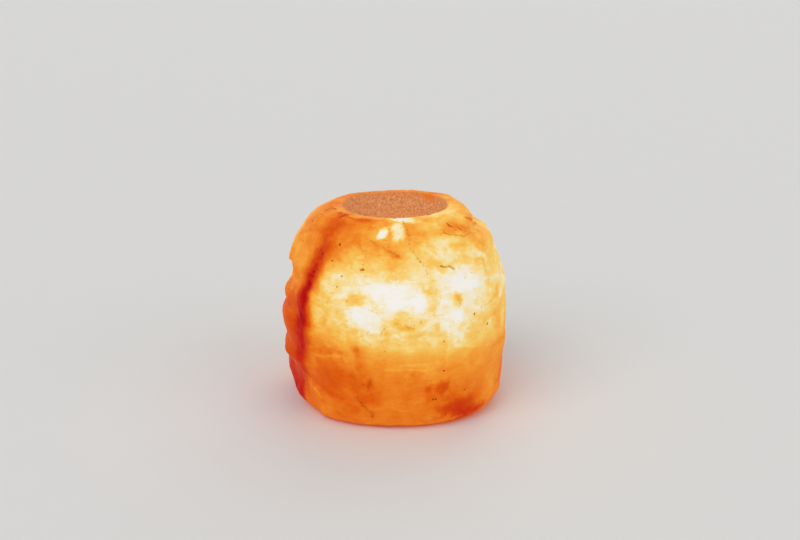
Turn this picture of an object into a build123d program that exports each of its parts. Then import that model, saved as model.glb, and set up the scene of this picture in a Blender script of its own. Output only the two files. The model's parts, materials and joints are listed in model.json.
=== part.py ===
"""A salt crystal lamp: a hewn block of rock salt with a bowl in its crown, lit from inside.

The block stands on four felt pads. A bore from beneath holds the lamp unit: a small screw
lampholder with its bulb, kept in the bore by two sprung arms. The cord's way out is the
groove under the block, towards the rear.

Millimetres, +Z up, -Y is the front. The origin is on the table, under the middle of the
block's box, and the bore and the bowl stand on the Z axis.
"""

import os
from math import cos, exp, hypot, log, pi, radians, sin, sqrt, tan

from build123d import *

# ---------------------------------------------------------------- the salt block
BLOCK_WIDTH = 136.0         # along X
BLOCK_DEPTH = 130.0         # along Y
BLOCK_TOP = 120.0           # the rim's height over the table
PAD_THICKNESS = 2.0         # the block's underside is this high
BELLY_HEIGHT = 45.0         # where the block is widest
CROWN_CUT = 5.0             # how much of the upper profile the rim's plane takes off
FOOT_CUT = 7.0              # and the underside's plane of the lower one
CROWN_SQUARENESS = 3.0      # exponent of the upper profile
FOOT_SQUARENESS = 5.0       # exponent of the lower profile
PLAN_SQUARENESS = 2.2       # exponent of the outline seen from above
LATTICE_COLUMNS = 44        # corners of the skin's triangles round the block
LATTICE_ROWS = 34           # and up it

BOWL_RADIUS = 31.0
BOWL_DEPTH = 20.0
BOWL_CORNER = 5.0
BORE_RADIUS = 22.0
BORE_TOP = 92.0
GROOVE_WIDTH = 12.0
GROOVE_HEIGHT = 12.0        # over the block's underside
GROOVE_CORNER = 4.0

PAD_RADIUS = 8.0
PAD_CIRCLE_RADIUS = 38.0    # the pads' distance from the axis
PAD_AZIMUTHS = {"front_right": 315, "rear_right": 45, "rear_left": 135, "front_left": 225}

# Each swell or hollow of the rough stone: azimuth (0 is +X, 90 the rear), height, how far it
# stands out, half width in degrees and half height.
RELIEF = [
    (180, 77, -4.2, 30, 9),     # ledge of the left shoulder
    (186, 50, 1.6, 34, 15),     # left flank
    (0, 93, -0.8, 32, 15),      # right shoulder
    (4, 112, -2.6, 26, 4),      # step in the right crown
    (200, 7, 1.5, 22, 9),       # left foot
    (352, 26, -0.6, 26, 18),    # right flank
    (318, 4, 1.5, 20, 9),       # front right foot
    (262, 92, -2.0, 24, 13),    # front shoulder
    (284, 56, 1.8, 26, 20),     # front belly
    (92, 62, -3.0, 28, 30),     # rear, cleaved flatter
    (48, 34, 2.6, 22, 18),      # rear right flank
    (132, 96, -3.6, 22, 13),    # rear left crown
    (140, 20, 2.2, 24, 14),     # rear left foot
    (90, 122, -5.5, 62, 10),    # rim behind the bowl, worn thin
    (124, 121, -2.6, 22, 5),    # rim, rear left
    (8, 117, 2.0, 22, 4),       # rim, right
    (178, 114, 1.2, 24, 5),     # left crown
    (196, 90, 1.0, 20, 7),      # left shoulder, over the ledge
    (202, 85, 1.4, 14, 5),      # left shoulder, front
    (190, 70, 4.8, 24, 4.5),    # left flank, under the ledge
    (192, 59, 2.0, 20, 4.5),    # left flank, middle
    (202, 53, 2.6, 16, 7),      # left flank, front
    (202, 35, 4.0, 16, 4),      # left flank, low
    (206, 21, -5.0, 22, 9),    # hollow over the left foot
    (0, 109, -5.6, 34, 3.0),    # notch in the right crown
    (350, 102, 2.6, 20, 5),     # under the notch
    (348, 87, 2.6, 20, 7),      # right shoulder, front
    (338, 46, 1.8, 16, 9),      # right flank, middle
    (338, 16, 1.6, 18, 6),      # right foot
]

# Hewn facets, each a plane that cuts the stone: azimuth, height, depth under the surface
# there, and how far it leans sideways and upwards from the surface, in degrees.
FACETS = [
    (32, 117, 0.5, -1.6, -3.2), (56, 117, 1.0, -2.2, 1.6), (101, 112, 0.7, -0.1, 2.2),
    (154, 117, 0.8, -4.6, -5.9), (179, 115, 0.4, 0.6, -0.6), (224, 117, 0.9, 0.4, -4.9),
    (260, 109, 0.5, -2.9, 3.4), (303, 109, 1.0, -2.1, -0.4), (352, 114, 1.0, 0.3, 4.3),
    (4, 104, 1.0, 7.2, 2.4), (31, 103, 0.6, -0.7, 2.2), (73, 109, 0.8, -2.4, 0.7),
    (114, 101, 0.7, -2.1, -0.6), (140, 109, 0.5, -2.9, 2.1), (190, 106, 0.5, 4.5, 2.2),
    (227, 105, 0.5, 5.5, -1.4), (256, 101, 1.1, -0.7, -3.6), (289, 103, 0.5, 2.4, -0.1),
    (327, 104, 0.6, -0.0, 1.9), (4, 89, 1.1, -1.1, -2.9), (45, 97, 0.6, -2.2, 0.7),
    (75, 93, 1.0, 2.5, 1.7), (118, 88, 1.0, -3.8, 0.8), (142, 96, 0.4, 0.3, -1.9),
    (176, 95, 0.5, 1.3, -6.8), (203, 91, 1.1, -3.0, 2.5), (237, 98, 0.7, 5.2, -0.2),
    (274, 97, 0.9, 4.0, -1.7), (314, 92, 1.1, -4.6, 4.0), (340, 98, 0.6, -2.5, -1.0),
    (26, 85, 0.6, -1.1, -4.4), (48, 77, 1.1, -3.8, 1.1), (89, 81, 0.9, -2.3, -5.6),
    (121, 81, 0.9, -2.7, 1.5), (153, 83, 1.0, -4.4, 4.3), (195, 83, 1.1, -1.6, -1.6),
    (212, 75, 0.4, 0.1, 3.8), (247, 81, 0.4, -5.0, 3.0), (288, 75, 0.6, 2.8, 2.7),
    (324, 82, 0.8, -4.5, 2.8), (342, 83, 1.1, 5.3, -3.7), (8, 62, 0.9, 3.0, -5.3),
    (50, 69, 0.5, -0.9, 0.1), (71, 67, 0.9, -3.5, -5.3), (112, 67, 1.0, -3.6, -2.1),
    (146, 70, 1.1, -2.8, 1.1), (177, 63, 0.8, 3.2, -0.3), (203, 66, 0.9, 2.7, -0.3),
    (234, 68, 1.0, -0.1, -7.0), (274, 63, 0.5, -2.5, -1.7), (298, 69, 0.8, -3.4, 3.6),
    (343, 62, 0.5, 0.1, 2.6), (26, 50, 1.0, -2.5, 3.5), (61, 56, 0.7, -4.8, 5.5),
    (99, 55, 1.0, 1.4, -8.4), (120, 52, 1.0, -3.9, -0.9), (161, 54, 1.1, -0.0, 4.9),
    (199, 53, 0.9, 5.6, 3.1), (232, 55, 0.7, 0.8, -0.8), (263, 55, 0.9, 2.0, -0.2),
    (290, 47, 1.0, 1.8, 0.2), (325, 54, 0.7, 3.1, -1.3), (355, 48, 1.0, -5.7, -0.8),
    (29, 42, 0.4, -4.9, 4.9), (49, 35, 0.8, 0.7, -0.0), (83, 42, 0.5, -0.9, -0.6),
    (121, 33, 0.6, -4.0, 4.1), (153, 34, 1.1, 0.9, 1.8), (182, 37, 0.5, -4.9, 0.1),
    (213, 35, 1.0, -3.1, -1.6), (255, 36, 0.8, 1.1, -1.0), (287, 38, 0.7, 1.8, 6.0),
    (312, 34, 0.4, 1.4, -6.2), (346, 43, 0.5, -0.5, -5.5), (22, 22, 0.8, 0.8, -2.5),
    (62, 28, 1.0, -4.1, 0.4), (99, 27, 0.9, 3.9, -1.5), (122, 27, 0.5, -1.2, -4.2),
    (158, 28, 0.5, 0.8, 3.2), (202, 25, 1.0, 1.4, -1.2), (230, 25, 1.1, -3.4, 2.6),
    (262, 27, 0.6, 2.2, 4.3), (293, 27, 0.4, 9.1, -0.6), (333, 24, 0.7, -6.0, -1.2),
    (1, 20, 0.8, 1.2, -3.3), (1, 10, 0.8, -3.0, -1.0), (32, 6, 1.1, 3.2, -4.9),
    (78, 11, 0.8, 3.1, -1.7), (112, 12, 0.9, -0.8, -2.4), (146, 8, 0.9, -0.2, -3.5),
    (186, 9, 0.6, -3.3, -0.1), (224, 12, 0.7, -6.5, -0.2), (260, 10, 0.8, -2.7, -3.6),
]
FACET_SOFTNESS = 0.14       # rounding where facets meet
DEEPEST_CUT = 3.2           # no facet takes off more than this
FACET_REACH = 24.0          # at this way from its place a facet has lifted off by 1 mm
LIFT_POWER = 4              # and this is how steeply it lifts off beyond
FACET_SLOPE_STEP = 0.5      # degrees and millimetres over which the surface's slope is read
LEAST_FACING = 0.35         # a facet cuts only where it faces outwards by this much

# ---------------------------------------------------------------- fits
SLIP = 0.15                 # radial room of a sliding sleeve
PIN_ROOM = 0.06             # radial room of a pivot or a running screw
SEAT_ROOM = 0.2             # room of a part that is cemented or dropped in
PAST = 1.0                  # how far a cutter runs past the face that it opens

# ---------------------------------------------------------------- cord grip
GRIP_BOTTOM = 10.0          # over the table, so that the cord can bend into the groove
GRIP_HEX = 15.0             # across flats
GRIP_HEAD = 6.0
GRIP_STEM_RADIUS = 5.0
GRIP_STEM_PROUD = 1.0       # over its nut
CORD_HOLE_RADIUS = 3.3
NUT_HEX = 13.0
NUT_HEIGHT = 2.4
GRUB_RADIUS = 1.5
GRUB_LENGTH = 4.2
GRUB_SLOT_DEPTH = 0.6

# ---------------------------------------------------------------- lampholder
HOLDER_RADIUS = 15.0
DOME_HEIGHT = 13.0          # the lower cup's body, up to its shoulder
DOME_WALL = 2.0
DOME_FLOOR = 2.5
DOME_RIM = 2.5              # the thick ring that joins the cup's wall to its spigot
DOME_FOOT_FILLET = 3.0
STUB_RADIUS = 13.0          # the cup's spigot, inside the skirt
STUB_HEIGHT = 5.0
INSERT_RADIUS = 12.8
INSERT_HEIGHT = 4.5
SKIRT_SHOULDER = 3.0        # wall over the insert
SLEEVE_RADIUS = 10.4        # the skirt's upper sleeve
SLEEVE_HEIGHT = 12.0
SKIRT_FILLET = 2.0

SHELL_BORE_RADIUS = 7.15    # the threaded shell's root
SHELL_WALL = 0.5
SHELL_FLOOR_HOLE_RADIUS = 3.4
RIVET_RADIUS = 0.8
RIVET_HEAD_RADIUS = 1.3
RIVET_HEAD = 0.5
RIVET_OFFSET = 5.2

PLUNGER_HEAD_RADIUS = 2.6
PLUNGER_HEAD = 1.2
PLUNGER_RADIUS = 1.1
PLUNGER_BELOW = 4.6         # how far the pin reaches under the insert
COLLAR_RADIUS = 2.0
COLLAR_HEIGHT = 0.6
SPRING_POCKET_RADIUS = 3.0
SPRING_POCKET_DEPTH = 3.0
SPRING_RADIUS = 2.1
SPRING_WIRE = 0.5
SPRING_TURNS = 3.5

TERMINAL_OFFSET = 6.5
TERMINAL_WIDTH = 5.0
TERMINAL_HEIGHT = 7.0
TERMINAL_WIRE_RADIUS = 1.2
TERMINAL_ROOF = 1.0         # brass left over the wire's hole
STRAP_THICKNESS = 0.4
STRAP_WIDTH = 3.0
STRAP_END = 1.6             # brass round the centre of a strap's last hole
SCREW_RADIUS = 1.2
SCREW_HEAD_RADIUS = 1.9
SCREW_HEAD = 1.4
SCREW_SLOT = 0.5            # width of every screwdriver slot
SCREW_SLOT_DEPTH = 0.5

# ---------------------------------------------------------------- sprung arms
BRACKET_THICKNESS = 0.8
BRACKET_RADIUS = 16.4
LUG_GAP = 11.2              # between a pair of lugs
LUG_TOP = 7.4               # over the bracket's underside
LUG_INNER = 15.2            # the lugs' nearest distance from the axis
LUG_OUTER = 19.6
PIVOT_REACH = 17.5          # the pivot pin's distance from the axis
PIVOT_RISE = 4.6            # over the bracket's underside
PIVOT_RADIUS = 0.9
PIVOT_HEAD_RADIUS = 1.5
PIVOT_HEAD = 0.6
EYE_WALL = 0.6
ARM_WIDTH = 6.0
ARM_THICKNESS = 0.6
ARM_HEIGHT = 25.0
ARM_TIP_IN = 0.6            # the free end stands this far inside the pivot's outer side
ARM_WALL_ROOM = 0.35        # between an arm and the bore's wall
TORSION_WIRE = 0.4
TORSION_TURNS = 3

# ---------------------------------------------------------------- bulb
THREAD_PITCH = 2.822        # nine turns to the inch
THREAD_TURNS = 3.5
THREAD_MARGIN = 0.3         # plain cap under the first ridge
THREAD_START_AZIMUTH = 37
CAP_RADIUS = 6.1            # the thread's root
CAP_WALL = 0.4
CAP_CREST_RADIUS = 6.85
CAP_RIDGE = 0.75            # half height of a ridge at its root
SHELL_CREST_RADIUS = 6.4
SHELL_RIDGE = 0.6
RIDGE_ROOT = 0.2            # how deep a ridge is rooted in its wall
CAP_HEIGHT = 17.0
CAP_FLARE_RADIUS = 6.9
CAP_FLARE_HEIGHT = 3.0
TIP_RADIUS = 2.4
TIP_HEIGHT = 1.0
INSULATOR_HEIGHT = 2.6
INSULATOR_LOW_RADIUS = 3.4
INSULATOR_SPIGOT = 1.4
BULB_LENGTH = 48.0
GLASS_RADIUS = 11.0
GLASS_WALL = 0.7
GLASS_NECK_RADIUS = 5.5
GLASS_NECK_DEPTH = 4.0      # how far the neck sits down in the cap
GLASS_FLARE = 8.0           # height over which the neck widens
STEM_RADIUS = 2.2
STEM_FOOT = 1.0             # thickness of the disc that closes the neck
STEM_HEIGHT = 9.0
PINCH_WIDTH = 5.6
PINCH_THICKNESS = 1.8
PINCH_HEIGHT = 5.0
LEAD_RADIUS = 0.35
LEAD_ELBOW = 1.5            # the elbow's height over the pinch, and its radius
LEAD_SPREAD = 6.5           # filament end's distance from the axis
LEAD_RISE = 8.0             # filament end's height over the pinch
FILAMENT_RADIUS = 0.3
FILAMENT_BOW = 2.5
SUPPORT_RADIUS = 0.25
SUPPORT_SPREAD = 2.4

# ---------------------------------------------------------------- heights that follow
DOME_BOTTOM = GRIP_BOTTOM + GRIP_HEAD
SHOULDER = DOME_BOTTOM + DOME_HEIGHT
STUB_TOP = SHOULDER + STUB_HEIGHT
STRAP_BOTTOM = STUB_TOP - STRAP_THICKNESS
INSERT_TOP = STUB_TOP + INSERT_HEIGHT
SKIRT_BOTTOM = SHOULDER + BRACKET_THICKNESS
SKIRT_TOP = INSERT_TOP + SKIRT_SHOULDER + SLEEVE_HEIGHT
SHELL_BOTTOM = INSERT_TOP
SHELL_TOP = SKIRT_TOP - SHELL_WALL
TIP_BOTTOM = INSERT_TOP + PLUNGER_HEAD
CAP_BOTTOM = TIP_BOTTOM + TIP_HEIGHT + INSULATOR_HEIGHT
CAP_TOP = CAP_BOTTOM + CAP_HEIGHT
GLASS_TOP = TIP_BOTTOM + BULB_LENGTH
CAP_THREAD_START = CAP_BOTTOM + CAP_RIDGE + THREAD_MARGIN
SHELL_THREAD_START = CAP_THREAD_START - THREAD_PITCH / 2
PIVOT_HEIGHT = SHOULDER + PIVOT_RISE
STEM_BOTTOM = CAP_TOP - GLASS_NECK_DEPTH
PINCH_TOP = STEM_BOTTOM + STEM_HEIGHT + PINCH_HEIGHT


# ---------------------------------------------------------------- small helpers
def post(radius, bottom, top, x=0.0, y=0.0):
    """An upright cylinder between two heights."""
    blank = Cylinder(radius, top - bottom, align=(Align.CENTER, Align.CENTER, Align.MIN))
    return Pos(x, y, bottom) * blank


def block(x_size, y_size, z_size, bottom, x=0.0, y=0.0):
    """An upright box on its bottom height, centred on x and y."""
    blank = Box(x_size, y_size, z_size, align=(Align.CENTER, Align.CENTER, Align.MIN))
    return Pos(x, y, bottom) * blank


def hexagon(across_flats, bottom, top):
    """An upright hexagonal prism."""
    outline = RegularPolygon(across_flats / 2, 6, major_radius=False)
    return extrude(Pos(0, 0, bottom) * outline, top - bottom)


def turned(*points):
    """A solid of revolution about Z, from (radius, height) points of its half section."""
    outline = Polyline(*[(r, 0, z) for r, z in points], close=True)
    return revolve(make_face(outline), Axis.Z)


def rod(radius, start, end):
    """A round rod between two points."""
    axis = Line(start, end)
    section = Plane(origin=start, z_dir=axis % 0) * Circle(radius)
    return sweep(section, axis)


def only_solid(shape):
    """The one solid of a shape that is in one piece."""
    return shape.solids().sort_by(lambda s: s.volume)[-1]


# ---------------------------------------------------------------- the salt block
def degrees_apart(a, b):
    """The angle from b to a, between -180 and 180 degrees."""
    return (a - b + 180) % 360 - 180


def profile_share(height):
    """How wide the block is at a height, as a share of its widest: two superellipses."""
    if height > BELLY_HEIGHT:
        reach, power = BLOCK_TOP + CROWN_CUT - BELLY_HEIGHT, CROWN_SQUARENESS
    else:
        reach, power = BELLY_HEIGHT + FOOT_CUT - PAD_THICKNESS, FOOT_SQUARENESS
    return (1 - (abs(height - BELLY_HEIGHT) / reach) ** power) ** (1 / power)


def plan_radius(azimuth):
    """The block's radius seen from above: a superellipse of its width and depth."""
    across = abs(cos(radians(azimuth)) / (BLOCK_WIDTH / 2)) ** PLAN_SQUARENESS
    along = abs(sin(radians(azimuth)) / (BLOCK_DEPTH / 2)) ** PLAN_SQUARENESS
    return (across + along) ** (-1 / PLAN_SQUARENESS)


def relief(azimuth, height):
    """The swells and hollows at a point, each fading like a bell curve."""
    total = 0.0
    for where, level, size, half_width, half_height in RELIEF:
        sideways = degrees_apart(azimuth, where) / half_width
        upwards = (height - level) / half_height
        total += size * exp(-sideways ** 2 - upwards ** 2)
    return total


def plain_radius(azimuth, height):
    """The block's radius before the facets are cut."""
    return plan_radius(azimuth) * profile_share(height) + relief(azimuth, height)


def facet_plane(azimuth, height, depth, side, rise):
    """A facet's plane: its outward normal, its distance from the origin, and its place."""
    near = FACET_SLOPE_STEP
    radius = plain_radius(azimuth, height)
    up = plain_radius(azimuth, height + near) - plain_radius(azimuth, height - near)
    round_it = plain_radius(azimuth + near, height) - plain_radius(azimuth - near, height)
    outward = Vector(cos(radians(azimuth)), sin(radians(azimuth)), 0)
    tangent = Vector(-sin(radians(azimuth)), cos(radians(azimuth)), 0)
    sideways = tan(radians(side)) - round_it / radians(2 * near) / radius
    upwards = tan(radians(rise)) - up / (2 * near)
    normal = (outward + tangent * sideways + Vector(0, 0, upwards)).normalized()
    distance = normal.dot(outward * radius + Vector(0, 0, height)) - depth
    return normal, distance, azimuth, height


def hewn_radius(azimuth, height, planes):
    """The radius after the facets: a soft minimum of the plain radius and every plane.

    A plane lifts off the stone the further the point is from the facet's own place.
    """
    radius = plain_radius(azimuth, height)
    total = 0.0
    for normal, distance, where, level in planes:
        facing = normal.X * cos(radians(azimuth)) + normal.Y * sin(radians(azimuth))
        if facing > LEAST_FACING:
            round_way = radians(degrees_apart(azimuth, where)) * BLOCK_WIDTH / 2
            lift = (hypot(round_way, height - level) / FACET_REACH) ** LIFT_POWER
            cut = (distance - normal.Z * height) / facing + lift
            total += exp((radius - cut) / FACET_SOFTNESS)
    taken = FACET_SOFTNESS * log(1 + total)
    return radius - DEEPEST_CUT * (1 - exp(-taken / DEEPEST_CUT))


def block_point(column, row, planes):
    """A corner of the skin's lattice. Every second row is turned by half a column."""
    eased = (1 - cos(pi * row / LATTICE_ROWS)) / 2
    height = PAD_THICKNESS + (BLOCK_TOP - PAD_THICKNESS) * eased
    azimuth = 360.0 / LATTICE_COLUMNS * (column + 0.5 * (row % 2))
    radius = hewn_radius(azimuth, height, planes)
    return Vector(radius * cos(radians(azimuth)), radius * sin(radians(azimuth)), height)


def fitted(rows):
    """The lattice, stretched and set so that its box has the block's width and depth."""
    every = [p for ring in rows for p in ring]
    low_x, high_x = min(p.X for p in every), max(p.X for p in every)
    low_y, high_y = min(p.Y for p in every), max(p.Y for p in every)
    stretch_x = BLOCK_WIDTH / (high_x - low_x)
    stretch_y = BLOCK_DEPTH / (high_y - low_y)
    middle_x, middle_y = (low_x + high_x) / 2, (low_y + high_y) / 2
    return [
        [Vector((p.X - middle_x) * stretch_x, (p.Y - middle_y) * stretch_y, p.Z) for p in ring]
        for ring in rows
    ]


def rough_stone():
    """The hewn stone without its cavities: a closed skin of flat triangles."""
    planes = [facet_plane(*facet) for facet in FACETS]
    columns = range(LATTICE_COLUMNS)
    rows = fitted([[block_point(c, r, planes) for c in columns] for r in range(LATTICE_ROWS + 1)])
    faces = [
        Face(Wire.make_polygon(list(reversed(rows[0])))),
        Face(Wire.make_polygon(rows[-1])),
    ]
    for r in range(LATTICE_ROWS):
        lower, upper = rows[r], rows[r + 1]
        shifted = r % 2             # the lower ring is the turned one
        for c in columns:
            n = (c + 1) % LATTICE_COLUMNS
            if shifted:
                triangles = [(lower[c], upper[n], upper[c]), (lower[c], lower[n], upper[n])]
            else:
                triangles = [(lower[c], lower[n], upper[c]), (lower[n], upper[n], upper[c])]
            faces += [Face(Wire.make_polygon(t)) for t in triangles]
    return Solid(Shell(faces))


def salt_block():
    """The stone with its bowl, the bore for the lamp unit and the groove for the cord."""
    bowl = post(BOWL_RADIUS, BLOCK_TOP - BOWL_DEPTH, BLOCK_TOP + PAST)
    bowl = fillet(bowl.edges().group_by(Axis.Z)[0], BOWL_CORNER)
    bore = post(BORE_RADIUS, PAD_THICKNESS - PAST, BORE_TOP)
    groove = block(GROOVE_WIDTH, BLOCK_DEPTH, GROOVE_HEIGHT + PAST, PAD_THICKNESS - PAST,
                   y=BLOCK_DEPTH / 2)
    roof = groove.edges().group_by(Axis.Z)[-1].filter_by(Axis.Y)
    groove = fillet(roof, GROOVE_CORNER)
    return only_solid(rough_stone() - bowl - bore - groove)


def felt_pad(azimuth):
    """A felt disc under the block."""
    x = PAD_CIRCLE_RADIUS * cos(radians(azimuth))
    y = PAD_CIRCLE_RADIUS * sin(radians(azimuth))
    return post(PAD_RADIUS, 0, PAD_THICKNESS, x, y)


# ---------------------------------------------------------------- cord grip
def cord_grip():
    """The hexagonal nipple that the cord comes through, with a hole for its grub screw."""
    head = hexagon(GRIP_HEX, GRIP_BOTTOM, DOME_BOTTOM)
    stem_top = DOME_BOTTOM + DOME_FLOOR + NUT_HEIGHT + GRIP_STEM_PROUD
    stem = post(GRIP_STEM_RADIUS, DOME_BOTTOM, stem_top)
    hole = post(CORD_HOLE_RADIUS, GRIP_BOTTOM - PAST, stem_top + PAST)
    middle = GRIP_BOTTOM + GRIP_HEAD / 2
    grub_hole = rod(GRUB_RADIUS + PIN_ROOM, (0, 0, middle), (0, GRIP_HEX, middle))
    return head + stem - hole - grub_hole


def cord_grip_screw():
    """The slotted grub screw that clamps the cord."""
    middle = GRIP_BOTTOM + GRIP_HEAD / 2
    inner = CORD_HOLE_RADIUS + SEAT_ROOM
    outer = inner + GRUB_LENGTH
    slot = Pos(0, outer, middle) * Box(4 * GRUB_RADIUS, 2 * GRUB_SLOT_DEPTH, SCREW_SLOT)
    return rod(GRUB_RADIUS, (0, inner, middle), (0, outer, middle)) - slot


def cord_grip_nut():
    """The thin nut that holds the nipple inside the lower cup."""
    bottom = DOME_BOTTOM + DOME_FLOOR
    thread = post(GRIP_STEM_RADIUS + PIN_ROOM, bottom - PAST, bottom + NUT_HEIGHT + PAST)
    return hexagon(NUT_HEX, bottom, bottom + NUT_HEIGHT) - thread


# ---------------------------------------------------------------- lampholder
def holder_dome():
    """The lower cup, which covers the terminals. Its spigot goes up inside the skirt."""
    body = post(HOLDER_RADIUS, DOME_BOTTOM, SHOULDER)
    body = fillet(body.edges().group_by(Axis.Z)[0], DOME_FOOT_FILLET)
    stub = post(STUB_RADIUS, SHOULDER, STUB_TOP)
    inside = post(HOLDER_RADIUS - DOME_WALL, DOME_BOTTOM + DOME_FLOOR, SHOULDER - DOME_RIM)
    throat = post(STUB_RADIUS - DOME_WALL, DOME_BOTTOM + DOME_FLOOR, STUB_TOP + PAST)
    grip_hole = post(GRIP_STEM_RADIUS + PIN_ROOM, DOME_BOTTOM - PAST, SHOULDER)
    return body + stub - inside - throat - grip_hole


def holder_skirt():
    """The upper cover: a wide collar over the insert, then a sleeve round the shell."""
    shoulder_top = INSERT_TOP + SKIRT_SHOULDER
    outside = post(HOLDER_RADIUS, SKIRT_BOTTOM, shoulder_top)
    outside = fillet(outside.edges().group_by(Axis.Z)[-1], SKIRT_FILLET)
    outside += post(SLEEVE_RADIUS, INSERT_TOP, SKIRT_TOP)
    wide = post(STUB_RADIUS + SLIP, SKIRT_BOTTOM - PAST, INSERT_TOP)
    narrow = post(SHELL_BORE_RADIUS + SHELL_WALL + SLIP, SKIRT_BOTTOM, SKIRT_TOP + PAST)
    return outside - wide - narrow


def rivet_places():
    """Where the two eyelets go through the insert."""
    return [(0, RIVET_OFFSET), (0, -RIVET_OFFSET)]


def holder_insert():
    """The ceramic disc that carries the shell, the centre contact and the terminals."""
    disc = post(INSERT_RADIUS, STUB_TOP, INSERT_TOP)
    disc -= post(PLUNGER_RADIUS + PIN_ROOM, STUB_TOP - PAST, INSERT_TOP + PAST)
    disc -= post(SPRING_POCKET_RADIUS, INSERT_TOP - SPRING_POCKET_DEPTH, INSERT_TOP + PAST)
    for x, y in rivet_places():
        disc -= post(RIVET_RADIUS + PIN_ROOM, STUB_TOP - PAST, INSERT_TOP + PAST, x, y)
    return disc


def thread_ridge(root, crest, half_height, start):
    """A helical ridge with a rounded crest, rooted in the wall that it stands on."""
    outwards = 1 if crest > root else -1
    foot = root - outwards * RIDGE_ROOT
    section = Polyline((foot, 0, -half_height), (root, 0, -half_height))
    section += ThreePointArc((root, 0, -half_height), (crest, 0, 0), (root, 0, half_height))
    section += Polyline((root, 0, half_height), (foot, 0, half_height), (foot, 0, -half_height))
    path = Helix(THREAD_PITCH, THREAD_PITCH * THREAD_TURNS, root)
    ridge = sweep(make_face(section), path, is_frenet=True)
    return Pos(0, 0, start) * Rot(0, 0, THREAD_START_AZIMUTH) * ridge


def screw_shell():
    """The threaded brass shell of the holder, with the floor that the rivets hold."""
    outside = SHELL_BORE_RADIUS + SHELL_WALL
    shell = post(outside, SHELL_BOTTOM, SHELL_TOP)
    shell -= post(SHELL_BORE_RADIUS, SHELL_BOTTOM + SHELL_WALL, SHELL_TOP + PAST)
    shell -= post(SHELL_FLOOR_HOLE_RADIUS, SHELL_BOTTOM - PAST, SHELL_TOP)
    for x, y in rivet_places():
        shell -= post(RIVET_RADIUS + PIN_ROOM, SHELL_BOTTOM - PAST, SHELL_TOP, x, y)
    ridge = thread_ridge(SHELL_BORE_RADIUS, SHELL_CREST_RADIUS, SHELL_RIDGE, SHELL_THREAD_START)
    return only_solid(shell + ridge)


def shell_rivets():
    """The two eyelets that hold the shell on the insert, and the neutral strap under it."""
    floor = SHELL_BOTTOM + SHELL_WALL
    rivets = []
    for x, y in rivet_places():
        shank = post(RIVET_RADIUS, STRAP_BOTTOM - RIVET_HEAD, floor + RIVET_HEAD, x, y)
        head = post(RIVET_HEAD_RADIUS, floor, floor + RIVET_HEAD, x, y)
        foot = post(RIVET_HEAD_RADIUS, STRAP_BOTTOM - RIVET_HEAD, STRAP_BOTTOM, x, y)
        rivets.append(only_solid(shank + head + foot))
    return Compound(rivets)


def contact_plunger():
    """The sprung centre pin: a head for the bulb's tip, and a collar under the insert."""
    head = post(PLUNGER_HEAD_RADIUS, INSERT_TOP, INSERT_TOP + PLUNGER_HEAD)
    pin = post(PLUNGER_RADIUS, STUB_TOP - PLUNGER_BELOW, INSERT_TOP + PLUNGER_HEAD)
    low = STUB_TOP - PLUNGER_BELOW
    collar = post(COLLAR_RADIUS, low, low + COLLAR_HEIGHT)
    return head + pin + collar


def contact_spring():
    """The coil spring in the insert's pocket, under the plunger's head."""
    travel = SPRING_POCKET_DEPTH - SPRING_WIRE - SLIP
    path = Helix(travel / SPRING_TURNS, travel, SPRING_RADIUS)
    section = Plane(origin=path @ 0, z_dir=path % 0) * Circle(SPRING_WIRE / 2)
    bottom = INSERT_TOP - SPRING_POCKET_DEPTH + SPRING_WIRE / 2 + SLIP / 2
    return Pos(0, 0, bottom) * sweep(section, path, is_frenet=True)


def terminal_block(side):
    """A drilled brass pillar on the -X or +X side, hung from its strap."""
    x = side * TERMINAL_OFFSET
    bottom = STUB_TOP - TERMINAL_HEIGHT
    body = block(TERMINAL_WIDTH, TERMINAL_WIDTH, TERMINAL_HEIGHT, bottom, x=x)
    wire_hole = post(TERMINAL_WIRE_RADIUS, bottom - PAST, STUB_TOP - TERMINAL_ROOF, x)
    level = bottom + TERMINAL_HEIGHT / 2
    screw_hole = rod(SCREW_RADIUS + PIN_ROOM, (x, 0, level), (x, -TERMINAL_WIDTH, level))
    return body - wire_hole - screw_hole


def live_terminal():
    """The terminal whose strap reaches the centre and lets the sprung pin through."""
    length = TERMINAL_OFFSET + STRAP_END
    strap = block(length, STRAP_WIDTH, STRAP_THICKNESS, STRAP_BOTTOM, x=STRAP_END - length / 2)
    pin_hole = post(PLUNGER_RADIUS + PIN_ROOM, STRAP_BOTTOM - PAST, STUB_TOP + PAST)
    return terminal_block(-1) + (strap - pin_hole)


def neutral_terminal():
    """The terminal whose strap is half a ring, from one of the shell's rivets to the other."""
    strap = post(RIVET_OFFSET + STRAP_END, STRAP_BOTTOM, STUB_TOP)
    strap -= post(RIVET_OFFSET - STRAP_END, STRAP_BOTTOM - PAST, STUB_TOP + PAST)
    far_half = block(HOLDER_RADIUS, 2 * HOLDER_RADIUS, 2 * PAST, STRAP_BOTTOM - PAST,
                     x=-STRAP_END - HOLDER_RADIUS / 2)
    strap -= far_half
    for x, y in rivet_places():
        strap -= post(RIVET_RADIUS + PIN_ROOM, STRAP_BOTTOM - PAST, STUB_TOP + PAST, x, y)
    return terminal_block(1) + strap


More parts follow.
